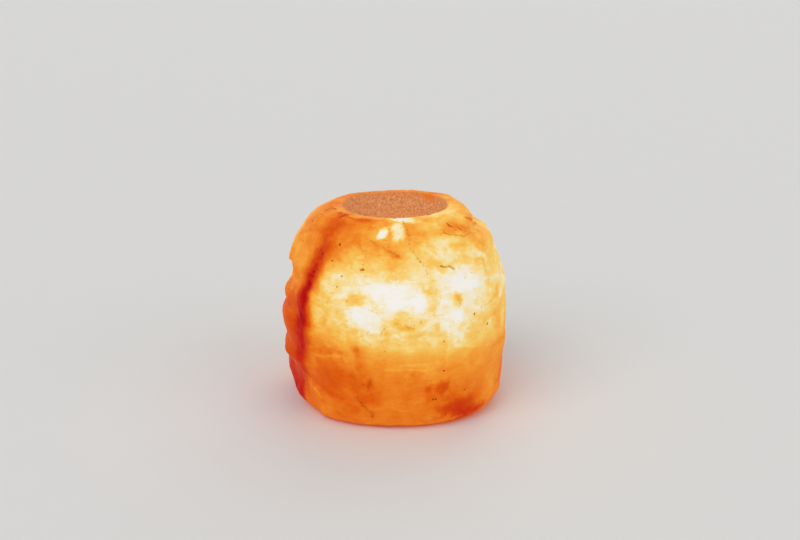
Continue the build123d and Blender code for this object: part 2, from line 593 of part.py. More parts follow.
def terminal_screws():
    """The two slotted screws that clamp the wires."""
    level = STUB_TOP - TERMINAL_HEIGHT / 2
    front = -TERMINAL_WIDTH / 2
    screws = []
    for side in (-1, 1):
        x = side * TERMINAL_OFFSET
        shank = rod(SCREW_RADIUS, (x, -SLIP - TERMINAL_WIRE_RADIUS, level), (x, front, level))
        head = rod(SCREW_HEAD_RADIUS, (x, front, level), (x, front - SCREW_HEAD, level))
        cutter = Box(4 * SCREW_HEAD_RADIUS, 2 * SCREW_SLOT_DEPTH, SCREW_SLOT)
        slot = Pos(x, front - SCREW_HEAD, level) * cutter
        screws.append(only_solid(shank + head - slot))
    return Compound(screws)


# ---------------------------------------------------------------- sprung arms
def clip_bracket():
    """The steel ring clamped under the skirt, with a pair of lugs on each side."""
    ring = post(BRACKET_RADIUS, SHOULDER, SKIRT_BOTTOM)
    lug_y = (LUG_GAP + BRACKET_THICKNESS) / 2
    lug_length = LUG_OUTER - LUG_INNER
    for side in (-1, 1):
        lug_x = side * (LUG_INNER + LUG_OUTER) / 2
        for y in (-lug_y, lug_y):
            ring += block(lug_length, BRACKET_THICKNESS, LUG_TOP, SHOULDER, lug_x, y)
        pin = (side * PIVOT_REACH, -LUG_GAP, PIVOT_HEIGHT)
        ring -= rod(PIVOT_RADIUS, pin, (pin[0], LUG_GAP, PIVOT_HEIGHT))
    return ring - post(STUB_RADIUS + SLIP, SHOULDER - PAST, SKIRT_TOP)


def clip_pin(side):
    """The headed pin that an arm turns on."""
    x = side * PIVOT_REACH
    end = LUG_GAP / 2 + BRACKET_THICKNESS
    shank = rod(PIVOT_RADIUS, (x, -end, PIVOT_HEIGHT), (x, end, PIVOT_HEIGHT))
    heads = [rod(PIVOT_HEAD_RADIUS, (x, s * end, PIVOT_HEIGHT),
                 (x, s * (end + PIVOT_HEAD), PIVOT_HEIGHT)) for s in (-1, 1)]
    return shank + heads[0] + heads[1]


def clip_arm(side):
    """A bowed spring-steel strip, with an eye rolled round its pin."""
    eye_radius = PIVOT_RADIUS + PIN_ROOM + EYE_WALL
    foot = PIVOT_REACH + eye_radius
    corner = BORE_RADIUS - ARM_WALL_ROOM
    apex = sqrt(corner ** 2 - (ARM_WIDTH / 2) ** 2)
    tip = foot - ARM_TIP_IN
    middle, top = PIVOT_HEIGHT + ARM_HEIGHT / 2, PIVOT_HEIGHT + ARM_HEIGHT

    def at(x, z):
        return (side * x, -ARM_WIDTH / 2, z)

    inwards = ARM_THICKNESS
    outline = ThreePointArc(at(foot, PIVOT_HEIGHT), at(apex, middle), at(tip, top))
    outline += Line(at(tip, top), at(tip - inwards, top))
    outline += ThreePointArc(at(tip - inwards, top), at(apex - inwards, middle),
                             at(foot - inwards, PIVOT_HEIGHT))
    outline += Line(at(foot - inwards, PIVOT_HEIGHT), at(foot, PIVOT_HEIGHT))
    strip = extrude(make_face(outline), ARM_WIDTH, dir=(0, 1, 0))
    start = (side * PIVOT_REACH, -ARM_WIDTH / 2, PIVOT_HEIGHT)
    end = (start[0], ARM_WIDTH / 2, PIVOT_HEIGHT)
    eye = rod(eye_radius, start, end)
    return only_solid(strip + eye - rod(PIVOT_RADIUS + PIN_ROOM, start, end))


def torsion_springs(side):
    """The two small coils on a pin, one each side of the arm's eye."""
    room = (LUG_GAP - ARM_WIDTH) / 2
    travel = room - 2 * SEAT_ROOM - TORSION_WIRE
    radius = PIVOT_RADIUS + SEAT_ROOM + TORSION_WIRE / 2
    coils = []
    for end in (-1, 1):
        path = Helix(travel / TORSION_TURNS, travel, radius)
        section = Plane(origin=path @ 0, z_dir=path % 0) * Circle(TORSION_WIRE / 2)
        coil = sweep(section, path, is_frenet=True)
        start = ARM_WIDTH / 2 + SEAT_ROOM + TORSION_WIRE / 2
        place = Pos(side * PIVOT_REACH, end * start, PIVOT_HEIGHT)
        coils.append(only_solid(place * Rot(-90 * end, 0, 0) * coil))
    return Compound(coils)


# ---------------------------------------------------------------- bulb
def bulb_cap():
    """The threaded metal cap, open at the bottom and flared round the glass."""
    inner = CAP_RADIUS - CAP_WALL
    flare_start = CAP_TOP - CAP_FLARE_HEIGHT
    sleeve = turned(
        (inner, CAP_BOTTOM), (CAP_RADIUS, CAP_BOTTOM), (CAP_RADIUS, flare_start),
        (CAP_FLARE_RADIUS, CAP_TOP), (CAP_FLARE_RADIUS - CAP_WALL, CAP_TOP),
        (inner, flare_start),
    )
    ridge = thread_ridge(CAP_RADIUS, CAP_CREST_RADIUS, CAP_RIDGE, CAP_THREAD_START)
    return only_solid(sleeve + ridge)


def cap_insulator():
    """The black glass between the cap and its tip: a cone, and a spigot in the cap."""
    low = TIP_BOTTOM + TIP_HEIGHT
    spigot = CAP_RADIUS - CAP_WALL - SEAT_ROOM / 2
    return turned(
        (0, low), (INSULATOR_LOW_RADIUS, low), (CAP_RADIUS, CAP_BOTTOM),
        (spigot, CAP_BOTTOM), (spigot, CAP_BOTTOM + INSULATOR_SPIGOT),
        (0, CAP_BOTTOM + INSULATOR_SPIGOT),
    )


def bulb_tip():
    """The soldered centre contact."""
    tip = post(TIP_RADIUS, TIP_BOTTOM, TIP_BOTTOM + TIP_HEIGHT)
    return chamfer(tip.edges().group_by(Axis.Z)[0], TIP_HEIGHT / 2)


def glass_section(inset):
    """Half of the glass's section, drawn in by inset: neck, flare, barrel and dome."""
    neck, widest = GLASS_NECK_RADIUS - inset, GLASS_RADIUS - inset
    flare_top = CAP_TOP + GLASS_FLARE
    dome_start = GLASS_TOP - GLASS_RADIUS
    diagonal = widest / sqrt(2)
    bottom = STEM_BOTTOM + inset
    outline = Polyline((0, 0, bottom), (neck, 0, bottom), (neck, 0, CAP_TOP))
    outline += Bezier((neck, 0, CAP_TOP), (neck, 0, CAP_TOP + GLASS_FLARE / 2),
                      (widest, 0, CAP_TOP + GLASS_FLARE / 2), (widest, 0, flare_top))
    outline += Line((widest, 0, flare_top), (widest, 0, dome_start))
    outline += ThreePointArc((widest, 0, dome_start), (diagonal, 0, dome_start + diagonal),
                             (0, 0, dome_start + widest))
    outline += Line((0, 0, dome_start + widest), (0, 0, bottom))
    return make_face(outline)


def bulb_glass():
    """The hollow glass envelope. Its neck is open where the stem closes it."""
    outside = revolve(glass_section(0), Axis.Z)
    inside = revolve(glass_section(GLASS_WALL), Axis.Z)
    throat = post(GLASS_NECK_RADIUS - GLASS_WALL, STEM_BOTTOM - PAST, CAP_TOP)
    return only_solid(outside - inside - throat)


def lead_ends():
    """The filament's two ends."""
    height = PINCH_TOP + LEAD_RISE
    return [(-LEAD_SPREAD, 0, height), (LEAD_SPREAD, 0, height)]


def lead_wires():
    """The two wires from the pinch up to the filament's ends."""
    wires = []
    for end in lead_ends():
        side = 1 if end[0] > 0 else -1
        foot = (side * PINCH_WIDTH / 3, 0, PINCH_TOP - PINCH_HEIGHT / 2)
        elbow = (foot[0], 0, PINCH_TOP + LEAD_ELBOW)
        path = FilletPolyline(foot, elbow, end, radius=LEAD_ELBOW)
        section = Plane(origin=foot, z_dir=(0, 0, 1)) * Circle(LEAD_RADIUS)
        wires.append(only_solid(sweep(section, path) - filament()))
    return Compound(wires)


def filament_path():
    """The bowed line of the filament, between the wires' ends."""
    left, right = lead_ends()
    return ThreePointArc(left, (0, 0, left[2] + FILAMENT_BOW), right)


def filament():
    """The filament, as a plain rod of the fine coil's outer size."""
    path = filament_path()
    section = Plane(origin=path @ 0, z_dir=path % 0) * Circle(FILAMENT_RADIUS)
    return sweep(section, path)


def filament_supports():
    """The two fine wires that hold the filament up between its ends."""
    path = filament_path()
    wires = []
    for side in (-1, 1):
        share = 0.5 + side * SUPPORT_SPREAD / (2 * LEAD_SPREAD)
        top = path @ share
        foot = (side * PINCH_WIDTH / 8, 0, PINCH_TOP - PINCH_HEIGHT / 3)
        wires.append(only_solid(rod(SUPPORT_RADIUS, foot, (top.X, 0, top.Z)) - filament()))
    return Compound(wires)


def glass_stem():
    """The stem that closes the neck, flattened at the top round the wires."""
    neck = GLASS_NECK_RADIUS - GLASS_WALL - SEAT_ROOM / 2
    foot = post(neck, STEM_BOTTOM, STEM_BOTTOM + STEM_FOOT)
    column = post(STEM_RADIUS, STEM_BOTTOM, STEM_BOTTOM + STEM_HEIGHT + PAST)
    pinch = block(PINCH_WIDTH, PINCH_THICKNESS, PINCH_HEIGHT, PINCH_TOP - PINCH_HEIGHT)
    stem = foot + column + pinch
    for wires in (lead_wires(), filament_supports()):
        for wire in wires.solids():
            stem -= wire
    return only_solid(stem)


# ---------------------------------------------------------------- all the nodes
def all_nodes():
    """Every piece of the lamp, by name."""
    nodes = {"salt_block": salt_block()}
    for place, azimuth in PAD_AZIMUTHS.items():
        nodes[f"felt_pad_{place}"] = felt_pad(azimuth)
    nodes.update(
        cord_grip=cord_grip(),
        cord_grip_screw=cord_grip_screw(),
        cord_grip_nut=cord_grip_nut(),
        holder_dome=holder_dome(),
        holder_skirt=holder_skirt(),
        holder_insert=holder_insert(),
        screw_shell=screw_shell(),
        shell_rivets=shell_rivets(),
        contact_plunger=contact_plunger(),
        contact_spring=contact_spring(),
        live_terminal=live_terminal(),
        neutral_terminal=neutral_terminal(),
        terminal_screws=terminal_screws(),
        clip_bracket=clip_bracket(),
    )
    for name, side in (("left", -1), ("right", 1)):
        nodes[f"clip_pin_{name}"] = clip_pin(side)
        nodes[f"clip_arm_{name}"] = clip_arm(side)
        nodes[f"clip_spring_{name}"] = torsion_springs(side)
    nodes.update(
        bulb_cap=bulb_cap(),
        bulb_cap_insulator=cap_insulator(),
        bulb_tip=bulb_tip(),
        bulb_glass=bulb_glass(),
        glass_stem=glass_stem(),
        lead_wires=lead_wires(),
        filament=filament(),
        filament_supports=filament_supports(),
    )
    return nodes


os.makedirs("parts", exist_ok=True)
for node_name, shape in all_nodes().items():
    export_step(shape, f"parts/{node_name}.step")
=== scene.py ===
"""The looks of a salt crystal lamp: a hewn, glowing stone with a bowl in its crown.

The stone is one closed surface worked out from two parameters. The pieces of the lamp unit
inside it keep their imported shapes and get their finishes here. Metres, +Z up, -Y the front.
"""

import json
import logging
from dataclasses import dataclass, field
from enum import Enum, IntEnum

import bpy
import numpy as np
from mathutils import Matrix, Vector


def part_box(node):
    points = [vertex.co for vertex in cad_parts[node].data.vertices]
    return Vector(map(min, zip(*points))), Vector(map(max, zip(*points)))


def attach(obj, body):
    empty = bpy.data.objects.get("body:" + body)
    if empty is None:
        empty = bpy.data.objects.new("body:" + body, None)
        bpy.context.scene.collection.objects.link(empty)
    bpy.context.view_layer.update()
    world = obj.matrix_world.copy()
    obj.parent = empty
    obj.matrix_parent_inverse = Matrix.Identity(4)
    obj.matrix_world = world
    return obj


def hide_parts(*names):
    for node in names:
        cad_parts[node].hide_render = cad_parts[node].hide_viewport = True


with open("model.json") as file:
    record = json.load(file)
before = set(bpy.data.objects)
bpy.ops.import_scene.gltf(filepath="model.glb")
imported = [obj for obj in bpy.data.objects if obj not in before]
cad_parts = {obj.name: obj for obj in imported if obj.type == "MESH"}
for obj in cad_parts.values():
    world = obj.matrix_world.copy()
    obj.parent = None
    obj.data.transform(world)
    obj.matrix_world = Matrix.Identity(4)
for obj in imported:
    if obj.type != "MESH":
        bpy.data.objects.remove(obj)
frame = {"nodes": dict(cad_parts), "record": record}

LOG = logging.getLogger("salt_lamp")
MM = 0.001
OCTAVE_LEVEL = 1.4      # brings summed octaves of noise back to about -1 to 1
WHITE = (1.0, 1.0, 1.0, 1.0)
Colour = tuple[float, float, float]
Place = tuple[float, float, float]


# ------------------------------------------------------------------ named options
class Zone(Enum):
    """The parts of the stone's surface, in the order of its rows."""

    BOWL_FLOOR = 0
    BOWL_WALL = 1
    RIM = 2
    OUTSIDE = 3
    UNDERSIDE = 4
    BORE = 5
    BORE_ROOF = 6


class Trace(Enum):
    """What the stone's mesh carries from point to point, by attribute name."""

    GLOW = "glow"
    CRACK = "crack"
    MATT = "matt"


class Grain(Enum):
    """How a metal's scratches are stretched: drawn along the upright axis, or evenly."""

    ALONG_Z = (1.0, 1.0, 0.08)
    EVEN = (1.0, 1.0, 1.0)


class Draw(IntEnum):
    """The seed of each noise on the stone, by what it shapes. Octaves take the next numbers."""

    LEDGE_LINES = 5
    ROUGH = 21
    PITS = 41
    FINE = 61
    RIM_WEAR = 81
    RIM_CHIPS = 91
    WIDE_ROUND = 101
    WIDE_UP = 131
    CLOSE_ROUND = 151
    RAGGED_WIDE = 161
    CLOSE_UP = 171
    RAGGED_CLOSE = 181
    SHAKEN_X = 191
    SHAKEN_Y = 201
    SHAKEN_Z = 211
    VEIN_WIDTH = 221
    RIM_LIGHT = 231
    VEIN_FADE = 241
    CAVITIES = 251
    STREAK = 261
    STREAK_MIDDLE = 271


# ------------------------------------------------------------------ numbers over arrays
def smooth(share: np.ndarray) -> np.ndarray:
    """Eases a share from 0 to 1: 3 s^2 - 2 s^3, after s is held between 0 and 1.

    Args:
        share: Any numbers.
    Returns:
        The eased numbers.
    """
    held = np.clip(share, 0.0, 1.0)
    return held * held * (3.0 - 2.0 * held)


def step(value: np.ndarray, start: float, end: float) -> np.ndarray:
    """An eased step from 0 at start to 1 at end.

    Args:
        value: Where the step is read.
        start: Where it leaves 0.
        end: Where it reaches 1.
    Returns:
        Shares between 0 and 1.
    """
    return smooth((value - start) / (end - start))


def degrees_apart(a: np.ndarray, b: float) -> np.ndarray:
    """The angle from b to a in degrees, between -180 and 180."""
    return (a - b + 180.0) % 360.0 - 180.0


@dataclass(frozen=True)
class Noise:
    """Smooth random numbers in space: a seeded lattice, blended with eased weights."""

    seed: int
    cells: int = 32

    def at(self, points: np.ndarray, size: float) -> np.ndarray:
        """One octave: the lattice's eight corners round a point, each by its eased share.

        Args:
            points: Places, with x, y and z last.
            size: Length of a lattice cell.
        Returns:
            Numbers between -1 and 1, one for each point.
        """
        lattice = np.random.default_rng(self.seed).uniform(-1.0, 1.0, (self.cells,) * 3)
        scaled = points / size
        cell = np.floor(scaled).astype(int)
        near = smooth(scaled - cell)
        total = np.zeros(points.shape[:-1])
        for corner in np.ndindex(2, 2, 2):
            index = (cell + corner) % self.cells
            weight = np.prod(np.where(np.array(corner) == 1, near, 1.0 - near), axis=-1)
            total += weight * lattice[index[..., 0], index[..., 1], index[..., 2]]
        return total

    def clouds(self, points: np.ndarray, size: float, octaves: int = 3) -> np.ndarray:
        """Octaves summed, each half as large and half as strong as the one before.

        Args:
            points: Places, with x, y and z last.
            size: Cell length of the largest octave.
            octaves: How many octaves.
        Returns:
            Numbers that stay mostly between -1 and 1.
        """
        layers = [Noise(self.seed + n).at(points, size / 2**n) / 2**n for n in range(octaves)]
        return sum(layers) / OCTAVE_LEVEL


# ------------------------------------------------------------------ marks on the stone
@dataclass(frozen=True)
class Swell:
    """A swell or hollow of the rough stone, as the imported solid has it. Millimetres, degrees."""

    azimuth: float
    height: float
    size: float             # how far it stands out, or in where it is negative
    half_width: float       # degrees round the stone
    half_height: float


@dataclass(frozen=True)
class Ledge:
    """A step where a layer of salt broke away: the stone stands back above a line."""

    azimuth: float
    height: float
    half_width: float       # degrees round the stone
    drop: float             # how far the surface stands back
    fade: float             # millimetres over which it comes out again
    slant: float = 0.0      # rise of the line, millimetres per degree


@dataclass(frozen=True)
class Patch:
    """A cloud in the salt that glows more or less than what is round it."""

    azimuth: float
    height: float
    half_width: float       # millimetres along the surface
    half_height: float
    glow: float             # the glow that it tends to, 0 deep red to 1 white
    strength: float
    edge: float = 2.0       # 2 is soft, 6 is a clear edge
    tilt: float = 0.0       # degrees, rising to the right


@dataclass(frozen=True)
class Line:
    """A crack, vein or band of glow along (azimuth, height) points."""

    points: tuple[tuple[float, float], ...]
    half_width: float       # millimetres
    strength: float         # below 0 it dulls the glow


@dataclass(frozen=True)
class Speck:
    """A dark grain of clay in the salt."""

    azimuth: float
    height: float
    radius: float           # millimetres


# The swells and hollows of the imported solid, in its order.
SWELLS = (
    Swell(180, 77, -4.2, 30, 9),
    Swell(186, 50, 1.6, 34, 15),
    Swell(0, 93, -0.8, 32, 15),
    Swell(4, 112, -2.6, 26, 4),
    Swell(200, 7, 1.5, 22, 9),
    Swell(352, 26, -0.6, 26, 18),
    Swell(318, 4, 1.5, 20, 9),
    Swell(262, 92, -2.0, 24, 13),
    Swell(284, 56, 1.8, 26, 20),
    Swell(92, 62, -3.0, 28, 30),
    Swell(48, 34, 2.6, 22, 18),
    Swell(132, 96, -3.6, 22, 13),
    Swell(140, 20, 2.2, 24, 14),
    Swell(90, 122, -5.5, 62, 10),
    Swell(124, 121, -2.6, 22, 5),
    Swell(8, 117, 2.0, 22, 4),
    Swell(178, 114, 1.2, 24, 5),
    Swell(196, 90, 1.0, 20, 7),
    Swell(202, 85, 1.4, 14, 5),
    Swell(190, 70, 4.8, 24, 4.5),
    Swell(192, 59, 2.0, 20, 4.5),
    Swell(202, 53, 2.6, 16, 7),
    Swell(202, 35, 4.0, 16, 4),
    Swell(206, 21, -5.0, 22, 9),
    Swell(0, 109, -5.6, 34, 3.0),
    Swell(350, 102, 2.6, 20, 5),
    Swell(348, 87, 2.6, 20, 7),
    Swell(338, 46, 1.8, 16, 9),
    Swell(338, 16, 1.6, 18, 6),
)

FACET_SEED = 7
FACET_RINGS = (     # height of each ring of hewn facets, and how many stand in it
    (114, 9), (104, 10), (93, 11), (80, 11), (66, 11), (52, 11), (38, 11), (24, 11), (9, 10),
)
FACETS_UNCUT = 2    # at the end of the lowest ring, where the right foot keeps its swell

# The ledges that show in the photo, and a few at the sides.
LEDGES = (
    Ledge(312, 114.5, 16, 0.9, 3.0, -0.22),
    Ledge(316, 110.8, 14, 0.8, 3.5, -0.10),
    Ledge(330, 105.5, 14, 0.8, 5.0, 0.05),
    Ledge(352, 108.5, 12, 1.0, 4.0, 0.0),
    Ledge(300, 97.0, 9, 0.5, 4.0, -0.15),
    Ledge(205, 119.0, 20, 0.8, 4.0, 0.0),
    Ledge(198, 101.0, 14, 0.6, 6.0, 0.1),
    Ledge(190, 84.0, 18, 0.9, 5.0, 0.0),
    Ledge(192, 64.0, 16, 0.8, 6.0, 0.0),
    Ledge(262, 103.0, 14, 0.5, 5.0, -0.12),
    Ledge(282, 44.0, 20, 0.35, 6.0, 0.02),
    Ledge(238, 45.5, 14, 0.4, 7.0, 0.03),
    Ledge(228, 22.0, 16, 0.6, 6.0, -0.35),
    Ledge(345, 42.0, 18, 0.8, 6.0, 0.0),
    Ledge(348, 62.0, 14, 0.8, 6.0, 0.0),
    Ledge(341, 18.0, 14, 0.7, 6.0, 0.15),
)

# The streak of red clay: by height, its azimuth, half width in millimetres, the glow of its
# middle, how strongly it covers what is under it, and the glow of the limb to its left.
RED_BAND = np.array((
    (2.0, 214.0, 3.0, 0.10, 0.0, 0.04), (12.0, 214.0, 3.0, 0.10, 0.0, 0.08),
    (20.0, 212.5, 3.6, 0.10, 0.4, 0.14), (30.0, 214.9, 4.8, 0.08, 0.8, 0.18),
    (38.2, 214.8, 5.6, 0.04, 1.0, 0.24), (43.6, 216.0, 6.4, 0.03, 1.0, 0.30),
    (50.0, 217.4, 6.2, 0.02, 1.0, 0.34), (59.4, 218.0, 6.6, 0.02, 1.0, 0.32),
    (64.2, 218.2, 6.0, 0.04, 1.0, 0.34), (69.1, 218.6, 5.6, 0.04, 1.0, 0.36),
    (73.5, 218.2, 4.8, 0.03, 1.0, 0.42), (78.0, 217.7, 4.6, 0.03, 1.0, 0.48),
    (82.6, 219.3, 5.0, 0.03, 1.0, 0.53), (87.5, 220.0, 5.4, 0.07, 1.0, 0.57),
    (92.3, 221.0, 6.2, 0.15, 1.0, 0.62), (96.5, 221.8, 7.4, 0.22, 0.95, 0.64),
    (101.4, 223.6, 8.4, 0.25, 0.95, 0.62), (105.3, 223.8, 9.2, 0.30, 0.9, 0.60),
    (109.3, 223.6, 9.8, 0.31, 0.9, 0.56), (113.1, 222.6, 10.2, 0.32, 0.85, 0.54),
    (116.5, 220.6, 10.0, 0.36, 0.75, 0.53), (121.0, 216.0, 9.0, 0.42, 0.6, 0.53),
))

# Each patch covers those before it.
PATCHES = (
    # the crown, left of the bright windows
    Patch(233.0, 115.5, 22.3, 6.0, 0.46, 0.92),
    Patch(249.1, 119.3, 10.5, 2.0, 0.43, 0.9),
    Patch(246.2, 109.8, 11.7, 3.5, 0.53, 0.8),
    Patch(271.4, 103.9, 3.7, 1.7, 0.46, 0.95),
    Patch(268.5, 105.9, 2.4, 1.1, 0.5, 0.8, 2, -30),
    Patch(263.6, 107.7, 3.5, 1.0, 0.55, 0.8, 2, -20),
    Patch(257.8, 109.0, 3.5, 1.0, 0.56, 0.7, 2, -20),
    Patch(251.5, 96.2, 1.8, 0.8, 0.55, 0.8),
    Patch(257.7, 106.1, 6.2, 3.0, 0.58, 0.7),
    Patch(267.3, 106.3, 7.6, 3.0, 0.56, 0.6),
    Patch(265.8, 99.3, 12.2, 3.7, 0.66, 0.75),
    Patch(268.6, 93.6, 10.6, 3.1, 0.79, 0.75),
    Patch(257.0, 95.6, 12.0, 5.6, 0.70, 0.62, 2, -8),
    Patch(254.0, 103.0, 9.0, 3.6, 0.60, 0.45),
    Patch(268.8, 98.6, 4.2, 2.6, 0.54, 0.45),
    Patch(233.9, 103.7, 6.5, 4.0, 0.62, 0.7),
    Patch(261.4, 113.6, 4.8, 2.1, 0.99, 1, 5, 12),
    Patch(272.8, 115.1, 6.7, 4.0, 0.9, 1, 6),
    Patch(273.2, 115.7, 3.7, 2.5, 0.95, 0.7),
    Patch(278.4, 120.0, 13.2, 1.5, 0.99, 0.95, 4),
    Patch(279.7, 113.1, 3.1, 2.8, 0.6, 0.85),
    Patch(282.2, 116.4, 2.1, 2.5, 0.62, 0.8),
    Patch(283.6, 110.4, 2.9, 2.5, 0.68, 0.7),
    Patch(287.3, 107.9, 3.5, 2.0, 0.7, 0.6),
    # the crown, right of them
    Patch(296.4, 116.3, 11.9, 2.5, 0.8, 0.7),
    Patch(303.0, 117.4, 9.0, 2.6, 0.85, 0.8),
    Patch(300.0, 113.2, 7.0, 2.0, 0.80, 0.6),
    Patch(324.0, 119.0, 16.0, 2.8, 0.83, 0.75),
    Patch(304.7, 109.7, 14.4, 2.5, 0.91, 0.8),
    Patch(316.2, 115.4, 9.7, 1.6, 0.74, 0.5),
    Patch(335.6, 118.1, 13.4, 2.5, 0.78, 0.6),
    Patch(294.9, 106.5, 12.6, 3.5, 0.93, 0.7),
    Patch(302.2, 102.8, 11.2, 3.5, 0.95, 0.8),
    Patch(320.2, 103.8, 7.6, 4.5, 0.88, 0.6),
    Patch(331.5, 101.1, 4.4, 4.5, 0.66, 0.6),
    Patch(322.0, 96.9, 4.5, 1.2, 0.7, 0.7),
    Patch(278.0, 98.3, 5.7, 4.1, 0.8, 0.4),
    # the white heart in its fields
    Patch(265.5, 85.6, 10.8, 3.6, 0.93, 0.9, 3),
    Patch(272.8, 81.7, 14.5, 6.2, 0.97, 0.95, 4),
    Patch(279.0, 85.0, 6.5, 5.6, 0.96, 0.9, 3),
    Patch(283.1, 78.3, 4.5, 4.0, 1, 0.95, 3),
    Patch(284.7, 69.5, 6.7, 3.4, 0.9, 0.6),
    Patch(260.5, 83.0, 4.1, 3.6, 0.945, 0.9, 3),
    Patch(305.7, 87.5, 14.9, 6.6, 0.945, 0.97, 5),
    Patch(294.3, 89.7, 3.6, 5.2, 0.94, 0.8, 3),
    Patch(296.9, 80.2, 6.0, 5.4, 0.945, 0.9, 4),
    Patch(309.7, 77.2, 6.3, 5.0, 0.93, 0.85, 3),
    Patch(303.2, 69.0, 3.5, 3.6, 0.975, 0.95, 3),
    Patch(298.2, 67.7, 4.9, 5.6, 0.95, 0.85),
    Patch(307.3, 66.0, 3.4, 7.0, 0.93, 0.65),
    Patch(298.5, 58.4, 2.8, 8.9, 0.87, 0.8, 3),
    Patch(256.0, 69.8, 11.4, 7.6, 0.99, 0.98, 6, -6),
    Patch(266.8, 76.9, 8.0, 3.2, 0.94, 0.7),
    Patch(257.1, 57.8, 6.8, 4.1, 0.86, 0.75),
    Patch(265.8, 72.0, 4.5, 2.8, 0.9, 0.8),
    # amber clouds between them
    Patch(249.4, 80.2, 5.6, 3.2, 0.7, 0.9, 3),
    Patch(239.4, 84.9, 8.8, 4.8, 0.76, 0.6),
    Patch(225.7, 83.3, 3.9, 10.8, 0.6, 0.75),
    Patch(287.7, 86.6, 3.3, 3.2, 0.8, 0.95, 4),
    Patch(287.7, 86.6, 1.3, 1.6, 0.88, 0.7),
    Patch(303.3, 78.0, 2.9, 3.4, 0.74, 0.95, 3),
    Patch(304.0, 79.0, 1.6, 1.2, 0.64, 0.8),
    Patch(271.2, 68.2, 3.9, 3.1, 0.76, 0.85),
    Patch(276.0, 65.4, 4.7, 1.7, 0.66, 0.85),
    Patch(283.2, 69.0, 2.2, 1.9, 0.8, 0.8),
    Patch(291.9, 65.3, 2.1, 1.8, 0.72, 0.85),
    Patch(289.7, 72.9, 1.3, 2.8, 0.8, 0.8),
    Patch(279.7, 60.7, 5.5, 1.2, 0.72, 0.7),
    Patch(284.0, 61.6, 4.9, 1.1, 0.7, 0.5),
    Patch(265.4, 63.0, 2.2, 2.8, 0.72, 0.7),
    Patch(243.0, 62.4, 7.2, 5.9, 0.75, 0.55),
    Patch(233.0, 66.8, 3.3, 8.1, 0.68, 0.5),
    Patch(331.6, 75.6, 7.1, 4.0, 0.66, 0.7),
    Patch(333.4, 57.8, 6.0, 8.1, 0.58, 0.7),
    Patch(320.4, 53.7, 7.1, 4.9, 0.74, 0.4),
    # the lower body
    Patch(250.6, 51.0, 2.6, 1.9, 0.44, 0.85),
    Patch(241.3, 48.3, 4.9, 1.2, 0.5, 0.6),
    Patch(236.9, 31.1, 16.7, 12.9, 0.33, 0.85, 3),
    Patch(234.5, 43.0, 7.4, 7.4, 0.38, 0.6),
    Patch(232.5, 35.0, 5.6, 6.5, 0.34, 0.7),
    Patch(240.8, 20.0, 8.0, 3.9, 0.38, 0.5),
    Patch(258.9, 39.7, 6.8, 5.6, 0.48, 0.4),
    Patch(275.1, 27.6, 13.7, 10.8, 0.445, 0.7, 4),
    Patch(256.8, 30.8, 2.0, 2.2, 0.4, 0.8),
    Patch(253.0, 17.7, 2.5, 2.2, 0.38, 0.8),
    Patch(258.6, 9.1, 4.0, 2.0, 0.42, 0.8, 2, -12),
    Patch(248.2, 15.6, 8.7, 4.9, 0.44, 0.5),
    Patch(279.1, 8.5, 16.0, 4.5, 0.48, 0.6, 3),
    Patch(294.6, 28.1, 4.8, 4.1, 0.26, 0.95, 3),
    Patch(287.0, 26.5, 2.0, 1.8, 0.33, 0.85),
    Patch(293.3, 21.4, 7.3, 2.7, 0.34, 0.5),
    Patch(305.4, 13.2, 13.3, 5.8, 0.18, 0.9, 3),
    Patch(310.1, 8.1, 8.3, 2.8, 0.1, 0.85),
    Patch(312.6, 14.9, 2.3, 2.0, 0.2, 0.8),
    Patch(300.8, 22.4, 3.2, 3.9, 0.36, 0.6),
    Patch(316.3, 17.4, 4.1, 3.3, 0.42, 0.5),
    Patch(325.7, 20.6, 8.8, 9.8, 0.6, 0.8),
    Patch(330.4, 33.8, 10.3, 8.5, 0.54, 0.5),
    Patch(308.9, 35.9, 13.5, 5.8, 0.54, 0.4),
    Patch(317.2, 7.4, 4.2, 1.8, 0.12, 0.8, 2, 20),
    Patch(308.4, 3.7, 8.3, 1.3, 0.1, 0.9, 2, 12),
    Patch(325.5, 11.4, 2.1, 2.8, 0.5, 0.6),
    # under the red band
    Patch(216.4, 17.9, 4.1, 2.4, 0.5, 0.9, 3),
    Patch(225.0, 26.3, 4.5, 3.8, 0.36, 0.6),
    Patch(229.1, 13.0, 7.5, 2.4, 0.42, 0.7, 2, -30),
    Patch(235.5, 9.7, 7.8, 3.0, 0.44, 0.6, 2, -20),
    # the sides and the rear
    Patch(20, 70, 16, 18, 0.86, 0.6, 2),
    Patch(62, 78, 14, 12, 0.92, 0.8, 3, 12),
    Patch(96, 70, 12, 9, 0.90, 0.7, 3, -10),
    Patch(78, 98, 16, 7, 0.66, 0.7, 2),
    Patch(150, 74, 14, 14, 0.80, 0.6, 2),
    Patch(168, 92, 10, 8, 0.50, 0.7, 2, 20),
    Patch(118, 106, 14, 6, 0.56, 0.7, 2),
    Patch(40, 30, 18, 10, 0.30, 0.6, 2, 10),
    Patch(110, 22, 18, 9, 0.36, 0.6, 2),
    Patch(160, 30, 16, 12, 0.26, 0.6, 2, -12),
    Patch(8, 14, 14, 6, 0.30, 0.6, 2),
)

VEINS = (
    Line(((140, 120), (137, 104), (131, 88), (128, 70), (126, 48), (130, 26)), 3.4, 0.75),
    Line(((36, 116), (40, 100), (38, 82), (31, 60), (28, 44)), 2.6, 0.55),
)

